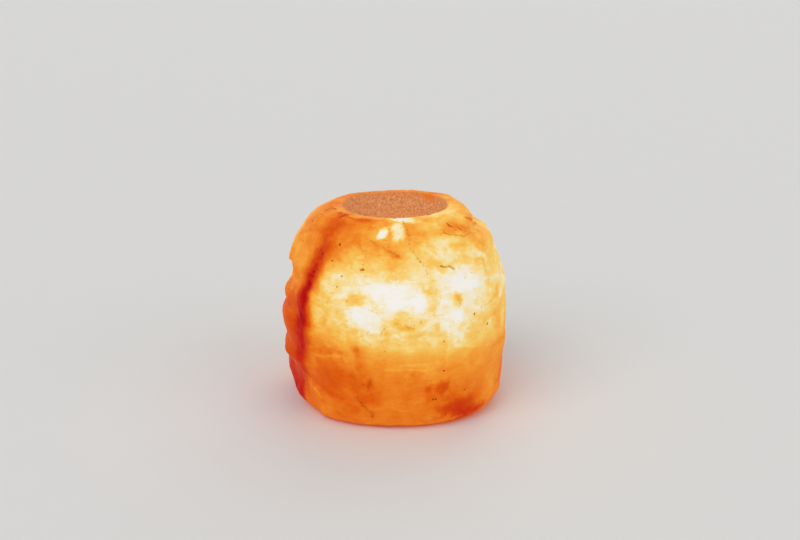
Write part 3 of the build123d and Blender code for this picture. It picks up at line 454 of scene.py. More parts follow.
CRACKS = (
    # the rim and the crown
    Line(((193.4, 117.8), (196.2, 119.1), (197.9, 120.0), (204.3, 120.0), (220.8, 120.0)),
         0.6, 0.77),
    Line(((224.8, 120.0), (222.4, 119.7), (219.8, 118.4)), 0.8, 0.68),
    Line(((278.2, 120.0), (277.2, 119.6), (277.1, 118.1)), 0.5, 0.59),
    Line(((258.5, 111.9), (261.9, 111.4), (265.1, 111.2)), 0.5, 0.47),
    Line(((265.8, 116.6), (266.2, 113.6), (266.7, 111.5)), 0.5, 0.34),
    Line(((312.4, 116.2), (313.7, 114.7), (318.2, 113.8), (321.2, 112.1)), 0.6, 0.72),
    Line(((321.2, 112.1), (326.2, 109.4), (335.8, 107.4)), 0.6, 0.42),
    Line(((304.9, 113.0), (307.3, 112.2), (312.8, 110.7), (318.4, 109.5), (325.7, 108.5)),
         0.6, 0.55),
    Line(((333.2, 116.5), (339.8, 114.2), (359.1, 108.4), (356.7, 107.8)), 0.7, 0.59),
    Line(((343.1, 117.4), (347.1, 115.5), (364.3, 107.8)), 0.6, 0.42),
    Line(((287.0, 112.9), (289.9, 113.2), (292.8, 112.2)), 0.6, 0.3),
    Line(((335.5, 104.0), (334.3, 102.1)), 0.6, 0.42),
    Line(((253.6, 110.7), (257.8, 109.0), (263.0, 107.7), (267.9, 105.9), (270.9, 104.2),
          (273.7, 102.9)), 1.1, 0.38),
    Line(((248.4, 107.1), (253.1, 105.5), (251.8, 102.4)), 0.8, 0.34),
    Line(((253.6, 102.5), (256.2, 99.5), (260.0, 91.8)), 0.8, 0.21),
    Line(((276.9, 117.7), (278.4, 116.1), (279.6, 112.7), (278.3, 108.7)), 1.3, 0.38),
    Line(((278.3, 108.7), (280.9, 105.8), (283.3, 102.3), (285.3, 100.2), (287.1, 97.1),
          (287.9, 94.4)), 0.8, 0.42),
    Line(((282.7, 96.2), (281.8, 91.0), (282.1, 86.8)), 0.5, 0.21),
    # the heart
    Line(((295.5, 97.7), (298.2, 96.9), (300.6, 97.1), (303.1, 95.2)), 0.6, 0.85),
    Line(((319.2, 98.2), (322.1, 97.2), (325.8, 95.4)), 0.8, 0.38),
    Line(((317.7, 90.9), (318.3, 89.1), (316.6, 88.4)), 0.4, 0.38),
    Line(((285.3, 89.1), (284.6, 86.7), (285.9, 84.0)), 0.6, 0.34),
    Line(((290.4, 88.5), (291.2, 85.8), (289.9, 83.2)), 0.6, 0.3),
    Line(((302.9, 79.8), (303.8, 77.4), (302.7, 74.2)), 0.8, 0.42),
    Line(((292.1, 78.1), (294.4, 74.5)), 0.5, 0.26),
    Line(((257.3, 75.4), (260.4, 74.0), (262.4, 74.1)), 0.6, 0.38),
    Line(((253.7, 60.4), (255.7, 61.5), (258.6, 61.1), (261.5, 59.9)), 0.5, 0.42),
    Line(((254.2, 58.1), (257.1, 56.3), (260.5, 54.5)), 0.5, 0.38),
    Line(((264.9, 65.2), (263.5, 63.5), (263.0, 61.1)), 0.6, 0.55),
    Line(((263.0, 56.4), (264.4, 57.7), (266.4, 58.4)), 0.6, 0.38),
    Line(((275.0, 67.1), (277.4, 65.4), (279.3, 65.0)), 0.7, 0.47),
    Line(((282.2, 68.8), (284.1, 66.7)), 0.5, 0.42),
    Line(((272.6, 59.1), (275.0, 58.5), (278.3, 59.0)), 0.5, 0.21),
    # the left flank and the lower body
    Line(((227.2, 76.2), (231.0, 76.9), (235.2, 76.4)), 0.5, 0.42),
    Line(((231.4, 73.3), (232.3, 69.5), (231.5, 65.2), (233.7, 60.4)), 0.7, 0.26),
    Line(((238.1, 48.8), (241.3, 48.9), (245.0, 49.3)), 0.8, 0.3),
    Line(((245.4, 46.0), (247.4, 43.3), (249.0, 41.7)), 0.5, 0.42),
    Line(((266.8, 50.0), (268.7, 47.6), (270.2, 47.0)), 0.6, 0.26),
    Line(((297.9, 33.2), (298.1, 27.4), (298.0, 23.0)), 0.7, 0.34),
    Line(((257.6, 33.4), (256.0, 28.0)), 1.7, 0.46),
    Line(((251.2, 21.6), (253.6, 17.0), (258.8, 12.0), (257.6, 8.6)), 1.5, 0.44),
    # the sides and the rear
    Line(((60, 112), (72, 108), (84, 109), (96, 104)), 0.7, 0.5),
    Line(((150, 66), (144, 62), (141, 54), (134, 50)), 0.6, 0.45),
    Line(((15, 100), (22, 96), (31, 97), (40, 92)), 0.6, 0.45),
    Line(((172, 108), (166, 101), (158, 99), (152, 92)), 0.6, 0.5),
    Line(((70, 58), (78, 55), (88, 57), (95, 52)), 0.6, 0.4),
    Line(((20, 44), (27, 40), (31, 33)), 0.6, 0.4),
)

# Thin lines that glow more than the salt round them, or less where the strength is below 0.
GLOW_LINES = (
    Line(((227.9, 43.0), (233.4, 43.6), (238.0, 45.7), (242.3, 46.0)), 0.8, 0.1),
    Line(((265.3, 40.1), (272.6, 40.5), (278.4, 40.4), (284.8, 39.3)), 0.7, 0.07),
    Line(((272.6, 42.1), (275.0, 43.6), (278.4, 42.9), (284.7, 43.4)), 0.6, 0.06),
    Line(((296.6, 66.9), (296.3, 57.6), (296.2, 49.1), (296.6, 40.4)), 0.9, 0.05),
    Line(((223.5, 19.7), (226.1, 17.6), (227.7, 15.7)), 0.7, 0.12),
    Line(((212.0, 20.3), (219.5, 20.5), (223.5, 19.0)), 0.8, 0.1),
    Line(((299.6, 53.0), (308.2, 50.4), (321.9, 46.1)), 0.8, 0.05),
    Line(((264.6, 19.3), (272.7, 20.6), (285.2, 20.6)), 1, 0.03),
    Line(((252.7, 13.6), (262.6, 16.5), (272.7, 15.3)), 0.9, 0.03),
    Line(((249.0, 42.3), (249.4, 39.3), (250.9, 37.0)), 0.6, 0.06),
    # painted shade under the ledges of the crown: lines that glow less than what is round them
    Line(((335.7, 115.9), (341.8, 112.6), (359.0, 107.6)), 1.8, -0.14),
    Line(((344.0, 106.8), (332.5, 102.7)), 1.5, -0.10),
    Line(((324.2, 95.6), (323.5, 90.4)), 1.2, -0.10),
    Line(((229.0, 119.4), (238.0, 118.8), (247.0, 119.2)), 1.4, -0.10),
)

SPECKS = (
    Speck(197.1, 112.6, 0.62), Speck(202.9, 109.0, 0.42), Speck(198.9, 101.7, 0.47),
    Speck(197.6, 116.5, 0.47), Speck(235.0, 107.6, 0.68), Speck(233.6, 99.3, 0.57),
    Speck(240.6, 91.8, 0.57), Speck(238.7, 85.9, 0.47), Speck(252.0, 96.2, 0.68),
    Speck(250.7, 95.9, 0.57), Speck(224.5, 101.1, 0.68), Speck(222.4, 102.5, 0.47),
    Speck(221.7, 90.7, 0.73), Speck(221.4, 87.9, 0.52), Speck(220.5, 83.6, 0.47),
    Speck(219.6, 79.8, 0.42), Speck(284.3, 100.7, 0.52), Speck(311.6, 68.6, 0.68),
    Speck(320.6, 60.0, 0.73), Speck(294.8, 37.9, 0.57), Speck(287.9, 33.0, 0.36),
    Speck(289.2, 30.0, 0.36), Speck(293.0, 32.2, 0.31), Speck(300.5, 28.8, 0.36),
    Speck(307.0, 23.2, 0.52), Speck(297.3, 21.6, 0.31), Speck(289.2, 21.1, 0.57),
    Speck(290.5, 20.9, 0.52), Speck(296.7, 9.8, 0.47), Speck(214.9, 21.3, 0.52),
    Speck(313.6, 91.3, 0.31), Speck(274.0, 116.4, 0.31), Speck(276.0, 115.3, 0.26),
    Speck(272.4, 114.5, 0.26), Speck(316.5, 71.2, 0.42), Speck(294.3, 56.2, 0.47),
    Speck(271.2, 68.2, 0.36), Speck(282.5, 68.8, 0.36), Speck(245.4, 79.2, 0.42),
    Speck(253.8, 30.5, 0.36), Speck(243.7, 37.7, 0.31),
    Speck(90, 52, 0.9), Speck(72, 40, 0.7), Speck(150, 90, 0.8), Speck(12, 56, 0.8),
    Speck(36, 88, 0.7), Speck(120, 80, 0.7), Speck(168, 44, 0.8), Speck(104, 96, 0.6),
)


def hewn_facets() -> np.ndarray:
    """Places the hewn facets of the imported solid: rings of planes at seeded places.

    Returns:
        A row for each plane: azimuth, height, depth under the surface there in millimetres,
        and how far it leans sideways and upwards from the surface, in degrees.
    """
    rng = np.random.default_rng(FACET_SEED)
    jitter_round, jitter_up, lowest, highest = 9.0, 5.0, 4.0, 117.0
    rows = []
    for ring_height, count in FACET_RINGS:
        start = rng.uniform(0.0, 360.0 / count)
        for turn in range(count):
            azimuth = start + 360.0 / count * turn + rng.uniform(-jitter_round, jitter_round)
            height = min(max(ring_height + rng.uniform(-jitter_up, jitter_up), lowest), highest)
            depth = rng.uniform(0.35, 1.15)
            side, rise = rng.normal(0.0, 3.6), rng.normal(0.0, 3.2)
            leans = round(depth, 1), round(side, 1), round(rise, 1)
            rows.append((round(azimuth % 360.0), round(height), *leans))
    return np.array(rows[:-FACETS_UNCUT])


# ------------------------------------------------------------------ node trees
class Graph:
    """A node tree being filled, with short ways to add a node and join its sockets."""

    def __init__(self, tree: bpy.types.NodeTree) -> None:
        """Takes a tree and empties it."""
        self.tree = tree
        tree.nodes.clear()

    def feed(self, socket: bpy.types.NodeSocket, value: object) -> None:
        """Joins a socket to a plain value or to another socket."""
        if isinstance(value, bpy.types.NodeSocket):
            self.tree.links.new(value, socket)
        else:
            socket.default_value = value

    def add(self, kind: str, inputs: dict | None = None, **settings: object) -> bpy.types.Node:
        """Adds a node.

        Args:
            kind: The node's type name.
            inputs: Values or sockets by the input's name or number.
            settings: Properties of the node itself.
        Returns:
            The node.
        """
        node = self.tree.nodes.new(kind)
        for name, value in settings.items():
            setattr(node, name, value)
        for name, value in (inputs or {}).items():
            self.feed(node.inputs[name], value)
        return node

    def math(self, operation: str, a: object, b: object = 0.0) -> bpy.types.NodeSocket:
        """One step of arithmetic on two values."""
        return self.add("ShaderNodeMath", {0: a, 1: b}, operation=operation).outputs[0]

    def vector(self, operation: str, a: object, b: object) -> bpy.types.Node:
        """One step of arithmetic on two vectors."""
        return self.add("ShaderNodeVectorMath", {0: a, 1: b}, operation=operation)

    def mix(self, share: object, a: object, b: object, blend: str = "MIX") -> bpy.types.NodeSocket:
        """A colour between a and b, by share."""
        inputs = {0: share, 6: a, 7: b}
        node = self.add("ShaderNodeMix", inputs, data_type="RGBA", blend_type=blend)
        return node.outputs[2]

    def spread(self, value: object, low: float, high: float, to_low: float = 0.0,
               to_high: float = 1.0) -> bpy.types.NodeSocket:
        """A value taken from one range to another, and held there."""
        inputs = {0: value, 1: low, 2: high, 3: to_low, 4: to_high}
        return self.add("ShaderNodeMapRange", inputs).outputs[0]

    def ramp(self, value: object, stops: tuple) -> bpy.types.NodeSocket:
        """A colour from (place, colour) stops along 0 to 1."""
        node = self.add("ShaderNodeValToRGB", {0: value})
        elements = node.color_ramp.elements
        while len(elements) < len(stops):
            elements.new(1.0)
        for element, (place, colour) in zip(elements, stops):
            element.position = place
            element.color = (*colour, 1.0)
        return node.outputs[0]

    def noise(self, place: object, scale: object, detail: float = 3.0,
              roughness: float = 0.55) -> bpy.types.NodeSocket:
        """Clouds from 0 to 1 at a scale of so many to the metre."""
        inputs = {"Vector": place, "Scale": scale, "Detail": detail, "Roughness": roughness}
        return self.add("ShaderNodeTexNoise", inputs).outputs[0]


def relief(graph: Graph, shader: bpy.types.Node, height: object, strength: float,
           distance: float) -> None:
    """Gives a shader relief by height, with its strength and its distance in metres."""
    bump = graph.add("ShaderNodeBump", {"Strength": strength, "Distance": distance,
                                        "Height": height})
    graph.feed(shader.inputs["Normal"], bump.outputs[0])


def new_group(name: str, inputs: dict[str, tuple[str, object]],
              outputs: dict[str, str]) -> tuple[Graph, bpy.types.Node, bpy.types.Node]:
    """Starts a shader node group with named sockets.

    Args:
        name: The group's name.
        inputs: Socket kind and first value, by name.
        outputs: Socket kind by name.
    Returns:
        The group's graph, its input node and its output node.
    """
    tree = bpy.data.node_groups.new(name, "ShaderNodeTree")
    for label, (kind, value) in inputs.items():
        socket = tree.interface.new_socket(label, in_out="INPUT", socket_type=kind)
        if value is not None:
            socket.default_value = value
    for label, kind in outputs.items():
        tree.interface.new_socket(label, in_out="OUTPUT", socket_type=kind)
    graph = Graph(tree)
    return graph, graph.add("NodeGroupInput"), graph.add("NodeGroupOutput")


@dataclass
class SharedEffects:
    """The effects that several finishes use, each built once as a node group."""

    groups: dict[str, bpy.types.NodeTree] = field(default_factory=dict)

    def build(self) -> None:
        """Builds every group."""
        self._grain()
        self._smudges()
        self._clouds()
        self._dust()

    def _grain(self) -> None:
        """Fine relief: cells broken by clouds, for the height of a bump."""
        inputs = {"Place": ("NodeSocketVector", None), "Scale": ("NodeSocketFloat", 800.0),
                  "Sharpness": ("NodeSocketFloat", 0.5)}
        graph, source, sink = new_group("fine_grain", inputs, {"Height": "NodeSocketFloat"})
        place, scale = source.outputs["Place"], source.outputs["Scale"]
        cells = graph.add("ShaderNodeTexVoronoi", {"Vector": place, "Scale": scale})
        soft = graph.noise(place, scale)
        sharp = graph.math("MULTIPLY", cells.outputs["Distance"], source.outputs["Sharpness"])
        graph.feed(sink.inputs["Height"], graph.math("ADD", soft, sharp))
        self.groups["grain"] = graph.tree

    def _smudges(self) -> None:
        """Where handling has dulled or polished a surface, from 0 to 1."""
        inputs = {"Place": ("NodeSocketVector", None), "Scale": ("NodeSocketFloat", 90.0),
                  "Amount": ("NodeSocketFloat", 0.5)}
        graph, source, sink = new_group("smudges", inputs, {"Mask": "NodeSocketFloat"})
        place = source.outputs["Place"]
        wide = graph.noise(place, source.outputs["Scale"], detail=4.0, roughness=0.6)
        mask = graph.spread(wide, low=0.42, high=0.68)
        graph.feed(sink.inputs["Mask"], graph.math("MULTIPLY", mask, source.outputs["Amount"]))
        self.groups["smudges"] = graph.tree

    def _clouds(self) -> None:
        """Two colours mixed by soft clouds, as tarnish or mottling."""
        inputs = {"Place": ("NodeSocketVector", None), "Scale": ("NodeSocketFloat", 60.0),
                  "Light": ("NodeSocketColor", (0.8, 0.8, 0.8, 1.0)),
                  "Dark": ("NodeSocketColor", (0.4, 0.4, 0.4, 1.0))}
        outputs = {"Colour": "NodeSocketColor", "Share": "NodeSocketFloat"}
        graph, source, sink = new_group("mottling", inputs, outputs)
        place, scale = source.outputs["Place"], source.outputs["Scale"]
        cloud = graph.noise(place, scale, detail=5.0, roughness=0.6)
        share = graph.spread(cloud, low=0.35, high=0.7)
        mixed = graph.mix(share, source.outputs["Light"], source.outputs["Dark"])
        graph.feed(sink.inputs["Colour"], mixed)
        graph.feed(sink.inputs["Share"], share)
        self.groups["mottling"] = graph.tree

    def _dust(self) -> None:
        """Salt dust on what faces up, from 0 to 1."""
        inputs = {"Place": ("NodeSocketVector", None), "Amount": ("NodeSocketFloat", 0.3)}
        graph, source, sink = new_group("settled_dust", inputs, {"Mask": "NodeSocketFloat"})
        facing = graph.add("ShaderNodeNewGeometry").outputs["Normal"]
        upward = graph.add("ShaderNodeSeparateXYZ", {0: facing}).outputs["Z"]
        level = graph.spread(upward, low=0.2, high=1.0)
        grains = graph.noise(source.outputs["Place"], scale=900.0, detail=4.0, roughness=0.7)
        grains = graph.spread(grains, low=0.4, high=0.7)
        mask = graph.math("MULTIPLY", graph.math("MULTIPLY", level, grains),
                          source.outputs["Amount"])
        graph.feed(sink.inputs["Mask"], mask)
        self.groups["dust"] = graph.tree

    def use(self, graph: Graph, name: str, **inputs: object) -> bpy.types.Node:
        """Places a group in a material.

        Args:
            graph: The material's graph.
            name: Which group.
            inputs: Values or sockets by the group's input names.
        Returns:
            The group's node.
        """
        node = graph.add("ShaderNodeGroup", node_tree=self.groups[name])
        for label, value in inputs.items():
            graph.feed(node.inputs[label], value)
        return node


def start_material(name: str) -> tuple[bpy.types.Material, Graph, bpy.types.Node, object]:
    """Starts a material with one shader.

    Args:
        name: The finish's name.
    Returns:
        The material, its graph, its shader and the object coordinates' socket.
    """
    material = bpy.data.materials.new(name)
    material.use_nodes = True
    graph = Graph(material.node_tree)
    shader = graph.add("ShaderNodeBsdfPrincipled")
    graph.add("ShaderNodeOutputMaterial", {"Surface": shader.outputs[0]})
    place = graph.add("ShaderNodeTexCoord").outputs["Object"]
    return material, graph, shader, place


def opaque(colour: Colour) -> tuple[float, float, float, float]:
    """A colour with full cover."""
    return (*colour, 1.0)


# ------------------------------------------------------------------ finishes
@dataclass(frozen=True)
class MetalFinish:
    """Drawn, pressed or plated metal: scratches along its grain, tarnish in clouds."""

    name: str
    bright: Colour
    tarnish: Colour
    roughness: float
    grain: Grain = Grain.EVEN
    scratch_scale: float = 900.0
    scratch_depth: float = 0.12
    uneven: float = 0.06            # how much the scratches change the roughness
    dust: float = 0.25
    dust_colour: Colour = (0.75, 0.68, 0.62)
    under_dust: float = 0.2         # how metallic it looks where dust lies

    def material(self, effects: SharedEffects) -> bpy.types.Material:
        """Builds the finish."""
        material, graph, shader, place = start_material(self.name)
        drawn = graph.vector("MULTIPLY", place, self.grain.value).outputs[0]
        clouds = effects.use(graph, "mottling", Place=place, Scale=140.0,
                             Light=opaque(self.bright), Dark=opaque(self.tarnish))
        mask = effects.use(graph, "dust", Place=place, Amount=self.dust).outputs["Mask"]
        colour = graph.mix(mask, clouds.outputs["Colour"], opaque(self.dust_colour))
        graph.feed(shader.inputs["Base Color"], colour)
        graph.feed(shader.inputs["Metallic"], graph.spread(mask, 0, 1, 1.0, self.under_dust))
        scratches = graph.noise(drawn, self.scratch_scale, detail=3.0, roughness=0.7)
        smudge = effects.use(graph, "smudges", Place=place, Scale=160.0, Amount=0.14)
        rough = graph.spread(scratches, low=0.3, high=0.7, to_low=self.roughness - self.uneven,
                             to_high=self.roughness + self.uneven)
        graph.feed(shader.inputs["Roughness"], graph.math("ADD", rough, smudge.outputs["Mask"]))
        relief(graph, shader, scratches, strength=self.scratch_depth, distance=0.0002)
        return material


@dataclass(frozen=True)
class MouldedFinish:
    """Moulded plastic, glazed ceramic or fused black glass: a skin with fine grain and dust."""

    name: str
    light: Colour
    dark: Colour
    roughness: float
    grain_scale: float
    grain_depth: float
    coat: float = 0.0
    coat_roughness: float = 0.12
    dust: float = 0.3
    dust_colour: Colour = (0.72, 0.64, 0.58)

    def material(self, effects: SharedEffects) -> bpy.types.Material:
        """Builds the finish."""
        material, graph, shader, place = start_material(self.name)
        clouds = effects.use(graph, "mottling", Place=place, Scale=90.0,
                             Light=opaque(self.light), Dark=opaque(self.dark))
        dust = effects.use(graph, "dust", Place=place, Amount=self.dust)
        colour = graph.mix(dust.outputs["Mask"], clouds.outputs["Colour"],
                           opaque(self.dust_colour))
        graph.feed(shader.inputs["Base Color"], colour)
        smudge = effects.use(graph, "smudges", Place=place, Scale=120.0, Amount=0.22)
        rough = graph.math("ADD", smudge.outputs["Mask"], self.roughness)
        graph.feed(shader.inputs["Roughness"], rough)
        shader.inputs["Coat Weight"].default_value = self.coat
        shader.inputs["Coat Roughness"].default_value = self.coat_roughness
        grain = effects.use(graph, "grain", Place=place, Scale=self.grain_scale, Sharpness=0.6)
        relief(graph, shader, grain.outputs["Height"], strength=self.grain_depth,
               distance=0.0002)
        return material


@dataclass(frozen=True)
class FeltFinish:
    """Pressed wool felt: tangled fibres in two greys, with a soft sheen."""

    name: str = "pressed_felt"
    light: Colour = (0.30, 0.25, 0.20)
    dark: Colour = (0.14, 0.11, 0.09)
    shadow: Colour = (0.72, 0.72, 0.72)
    stretch: float = 0.22           # scale along a fibre as a share of that across it
    sheen: float = 0.35
    sheen_roughness: float = 0.6

    def material(self, effects: SharedEffects) -> bpy.types.Material:
        """Builds the finish."""
        material, graph, shader, place = start_material(self.name)
        runs = ((1.0, self.stretch, 1.0), 2600.0), ((self.stretch, 1.0, 1.0), 2200.0)
        fibre_one, fibre_two = (
            graph.noise(graph.vector("MULTIPLY", place, along).outputs[0], scale, detail=3.0,
                        roughness=0.75) for along, scale in runs)
        tangle = graph.math("MAXIMUM", fibre_one, fibre_two)
        share = graph.spread(tangle, low=0.45, high=0.75)
        fibres = graph.mix(share, opaque(self.dark), opaque(self.light))
        clouds = effects.use(graph, "mottling", Place=place, Scale=220.0,
                             Light=WHITE, Dark=opaque(self.shadow))
        colour = graph.mix(1.0, fibres, clouds.outputs["Colour"], "MULTIPLY")
        graph.feed(shader.inputs["Base Color"], colour)
        rough = graph.spread(tangle, low=0.3, high=0.8, to_low=0.98, to_high=0.86)
        graph.feed(shader.inputs["Roughness"], rough)
        shader.inputs["Sheen Weight"].default_value = self.sheen
        shader.inputs["Sheen Roughness"].default_value = self.sheen_roughness
        relief(graph, shader, tangle, strength=0.7, distance=0.0003)
        return material


@dataclass(frozen=True)
class GlassFinish:
    """Clear blown glass, faintly uneven, with finger marks."""

    name: str = "clear_bulb_glass"
    tint: Colour = (0.97, 0.98, 0.97)
    refraction: float = 1.47
    roughness: float = 0.02

    def material(self, effects: SharedEffects) -> bpy.types.Material:
        """Builds the finish."""
        material, graph, shader, place = start_material(self.name)
        clouds = effects.use(graph, "mottling", Place=place, Scale=40.0,
                             Light=WHITE, Dark=opaque(self.tint))
        graph.feed(shader.inputs["Base Color"], clouds.outputs["Colour"])
        marks = effects.use(graph, "smudges", Place=place, Scale=150.0, Amount=0.08)
        rough = graph.math("ADD", marks.outputs["Mask"], self.roughness)
        graph.feed(shader.inputs["Roughness"], rough)
        shader.inputs["Transmission Weight"].default_value = 1.0
        shader.inputs["IOR"].default_value = self.refraction
        waves = graph.noise(place, scale=60.0, detail=1.0, roughness=0.4)
        relief(graph, shader, waves, strength=0.15, distance=0.0004)
        return material


@dataclass(frozen=True)
class GlowingWireFinish:
    """A filament at work: yellow-white in the middle and cooler at its ends."""

    name: str = "glowing_filament"
    half_span: float = 0.0065       # metres
    strength: float = 4.0
    heats: tuple = ((0.0, (1.0, 0.86, 0.55)), (0.7, (1.0, 0.72, 0.32)), (1.0, (1.0, 0.35, 0.06)))
    between_turns: Colour = (1.0, 0.55, 0.18)
    bare: Colour = (0.2, 0.2, 0.2)

    def material(self, effects: SharedEffects) -> bpy.types.Material:
        """Builds the finish."""
        material, graph, shader, place = start_material(self.name)
        across = graph.add("ShaderNodeSeparateXYZ", {0: place}).outputs["X"]
        share = graph.spread(graph.math("ABSOLUTE", across), 0.0, self.half_span)
        coil = graph.add("ShaderNodeTexWave", {"Vector": place, "Scale": 900.0,
                                               "Distortion": 0.4}, bands_direction="X")
        heat = graph.ramp(share, self.heats)
        lit = graph.mix(coil.outputs["Fac"], heat, opaque(self.between_turns))
        graph.feed(shader.inputs["Base Color"], graph.mix(0.6, lit, opaque(self.bare)))
        graph.feed(shader.inputs["Emission Color"], lit)
        shader.inputs["Emission Strength"].default_value = self.strength
        rough = graph.spread(coil.outputs["Fac"], low=0, high=1, to_low=0.4, to_high=0.6)
        graph.feed(shader.inputs["Roughness"], rough)
        relief(graph, shader, coil.outputs["Fac"], strength=0.6, distance=0.0002)
        return material


@dataclass(frozen=True)
class SaltFinish:
    """Rock salt lit from within: the bulb's light through it is painted on as glow, and the glow
    sets the colour, thrown back and given off alike, from red clay to white heart.
    """

    name: str = "glowing_rock_salt"
    given_off: float = 0.60         # share of the painted glow's colour that the stone gives off by itself
    thrown_back: float = 0.42       # share of the painted glow's colour put in its base colour, which it throws back: painted light
    refraction: float = 1.544
    shine: float = 0.05
    matt_given_off: float = 0.38    # the same two where the salt is ground dull
    matt_thrown_back: float = 0.62
    cloud_glow: float = 0.16        # how far clouds, streaks and fine grain change the glow
    streak_glow: float = 0.12
    grain_glow: float = 0.06
    middle_glow: float = 0.17       # half of the three, so that they raise and lower it alike
    plate_glow: float = 0.055       # flaky plates and their edges, over the holder
    edge_glow: float = 0.03
    vein_glow: float = 0.07
    upper_level: float = 0.02
    thread_glow: float = 0.045      # light threads, under the holder's top
    dark_glow: float = 0.14         # how much cracks and clay take away
    dark_shade: Colour = (0.40, 0.25, 0.12)
    ground_salt: tuple = (
        (0.34, (0.52, 0.215, 0.105)),
        (0.46, (0.70, 0.290, 0.120)),
        (0.56, (0.82, 0.380, 0.140)),
        (0.68, (0.88, 0.540, 0.270)),
    )
    ground_clay: Colour = (0.80, 0.30, 0.07)
    ground_lit: Colour = (0.86, 0.22, 0.02)     # where light comes through the bowl's wall
    full_grain: float = 0.00062     # radius from which a grain of clay is quite dark, metres
    stops: tuple = (
        (0.000, (0.430, 0.001, 0.000)),
        (0.070, (0.545, 0.006, 0.000)),
        (0.160, (0.600, 0.026, 0.001)),
        (0.300, (0.690, 0.074, 0.001)),
        (0.380, (0.760, 0.112, 0.003)),
        (0.460, (0.830, 0.176, 0.008)),
        (0.560, (0.905, 0.270, 0.022)),
        (0.640, (0.950, 0.375, 0.042)),
        (0.720, (0.965, 0.480, 0.072)),
        (0.790, (0.970, 0.590, 0.125)),
        (0.850, (0.970, 0.690, 0.230)),
        (0.900, (0.960, 0.790, 0.420)),
        (0.945, (0.945, 0.850, 0.640)),
        (1.000, (0.940, 0.900, 0.830)),
    )

    def material(self, effects: SharedEffects, specks: list[tuple[Vector, float]]
                 ) -> bpy.types.Material:
        """Builds the finish.

        Args:
            effects: The shared node groups.
            specks: Centre and radius of each dark grain, in metres.
        Returns:
            The material.
        """
        material, graph, shader, place = start_material(self.name)
        traces = {
            trace: graph.add("ShaderNodeAttribute", attribute_name=trace.value).outputs["Fac"]
            for trace in Trace
        }
        dark = self._dark(graph, place, traces, specks)
        glow, clouds = self._glow(graph, place, traces)
        glow = graph.math("SUBTRACT", glow, graph.math("MULTIPLY", dark, self.dark_glow))
        lit = graph.ramp(glow, self.stops)
        matt_colour, matt_speckle = self._matt(graph, place, traces)
        shade = graph.mix(dark, WHITE, opaque(self.dark_shade))
        salt = graph.mix(1.0, lit, shade, "MULTIPLY")
        matt = traces[Trace.MATT]
        stone = graph.mix(matt, salt, matt_colour)
        # the painted glow goes both into the base colour and into the light given off
        base = graph.vector("SCALE", stone, (0, 0, 0))
        graph.feed(base.inputs["Scale"],
                   graph.spread(matt, 0, 1, self.thrown_back, self.matt_thrown_back))
        own = graph.vector("SCALE", stone, (0, 0, 0))
        graph.feed(own.inputs["Scale"],
                   graph.spread(matt, 0, 1, self.given_off, self.matt_given_off))
        graph.feed(shader.inputs["Base Color"], base.outputs[0])
        graph.feed(shader.inputs["Emission Color"], own.outputs[0])
        shader.inputs["Emission Strength"].default_value = 1.0
        shader.inputs["IOR"].default_value = self.refraction
        shader.inputs["Specular IOR Level"].default_value = self.shine
        roughness = graph.spread(clouds, low=0.35, high=0.65, to_low=0.42, to_high=0.66)
        graph.feed(shader.inputs["Roughness"], roughness)
        grain = effects.use(graph, "grain", Place=place, Scale=700.0, Sharpness=0.5)
        coarse = graph.noise(place, scale=160.0, detail=4.0, roughness=0.6)
        height = self._sum(graph, (coarse, 2.2), (grain.outputs["Height"], 0.45), (dark, -0.25),
                           (matt_speckle, 0.3))
        relief(graph, shader, height, strength=0.55, distance=0.0006)
        return material

    def _sum(self, graph: Graph, *terms: tuple[object, float]) -> bpy.types.NodeSocket:
        """Adds values up, each multiplied by its weight.

        Args:
            graph: The material's graph.
            terms: Socket and weight of each value.
        Returns:
            The sum.
        """
        total = None
        for value, weight in terms:
            term = graph.math("MULTIPLY", value, weight)
            total = term if total is None else graph.math("ADD", total, term)
        return total

    def _glow(self, graph: Graph, place: object, traces: dict) -> tuple:
        """The mesh's glow with the salt's own unevenness.

        Clouds, streaks and grain change it everywhere, least where it is deep red. Flaky plates
        with dark edges and veins lower it over the holder; light threads raise it under that.

        Args:
            graph: The material's graph.
            place: Object coordinates.
            traces: The mesh's attributes.
        Returns:
            The glow, and the clouds alone.
        """
        clouds = graph.noise(place, scale=120.0, detail=6.0, roughness=0.62)
        layered = graph.vector("MULTIPLY", place, (1.0, 1.0, 3.2)).outputs[0]
        streaks = graph.noise(layered, scale=190.0, detail=4.0, roughness=0.65)
        grain = graph.noise(place, scale=700.0, detail=3.0, roughness=0.7)
        total = self._sum(graph, (clouds, self.cloud_glow), (streaks, self.streak_glow),
                          (grain, self.grain_glow))
        change = graph.math("SUBTRACT", total, self.middle_glow)
        room = graph.spread(traces[Trace.GLOW], low=0.0, high=0.5, to_low=0.25, to_high=1.0)
        glow = graph.math("ADD", traces[Trace.GLOW], graph.math("MULTIPLY", change, room))
        height = graph.add("ShaderNodeSeparateXYZ", {0: place}).outputs["Z"]
        over_holder = graph.spread(height, low=0.048, high=0.060)
        under_holder = graph.spread(height, low=0.056, high=0.046)
        flaky = graph.vector("MULTIPLY", place, (1.0, 1.0, 1.7)).outputs[0]
        plates = graph.noise(flaky, scale=85.0, detail=6.0, roughness=0.66)
        plate = graph.spread(plates, low=0.49, high=0.55)
        past_edge = graph.math("ABSOLUTE", graph.math("SUBTRACT", plates, 0.52))
        edge = graph.spread(past_edge, low=0.0, high=0.014, to_low=1.0, to_high=0.0)
        veins = self._contour(graph, place, scale=105.0, width=0.012, patch_scale=34.0)
        flakes = self._sum(graph, (plate, self.plate_glow), (edge, self.edge_glow),
                           (veins, self.vein_glow))
        flakes = graph.math("SUBTRACT", flakes, self.upper_level)
        glow = graph.math("SUBTRACT", glow, graph.math("MULTIPLY", flakes, over_holder))
        threads = self._contour(graph, layered, scale=75.0, width=0.016, patch_scale=28.0)
        threads = graph.math("MULTIPLY", threads, under_holder)
        glow = graph.math("ADD", glow, graph.math("MULTIPLY", threads, self.thread_glow))
        return glow, clouds

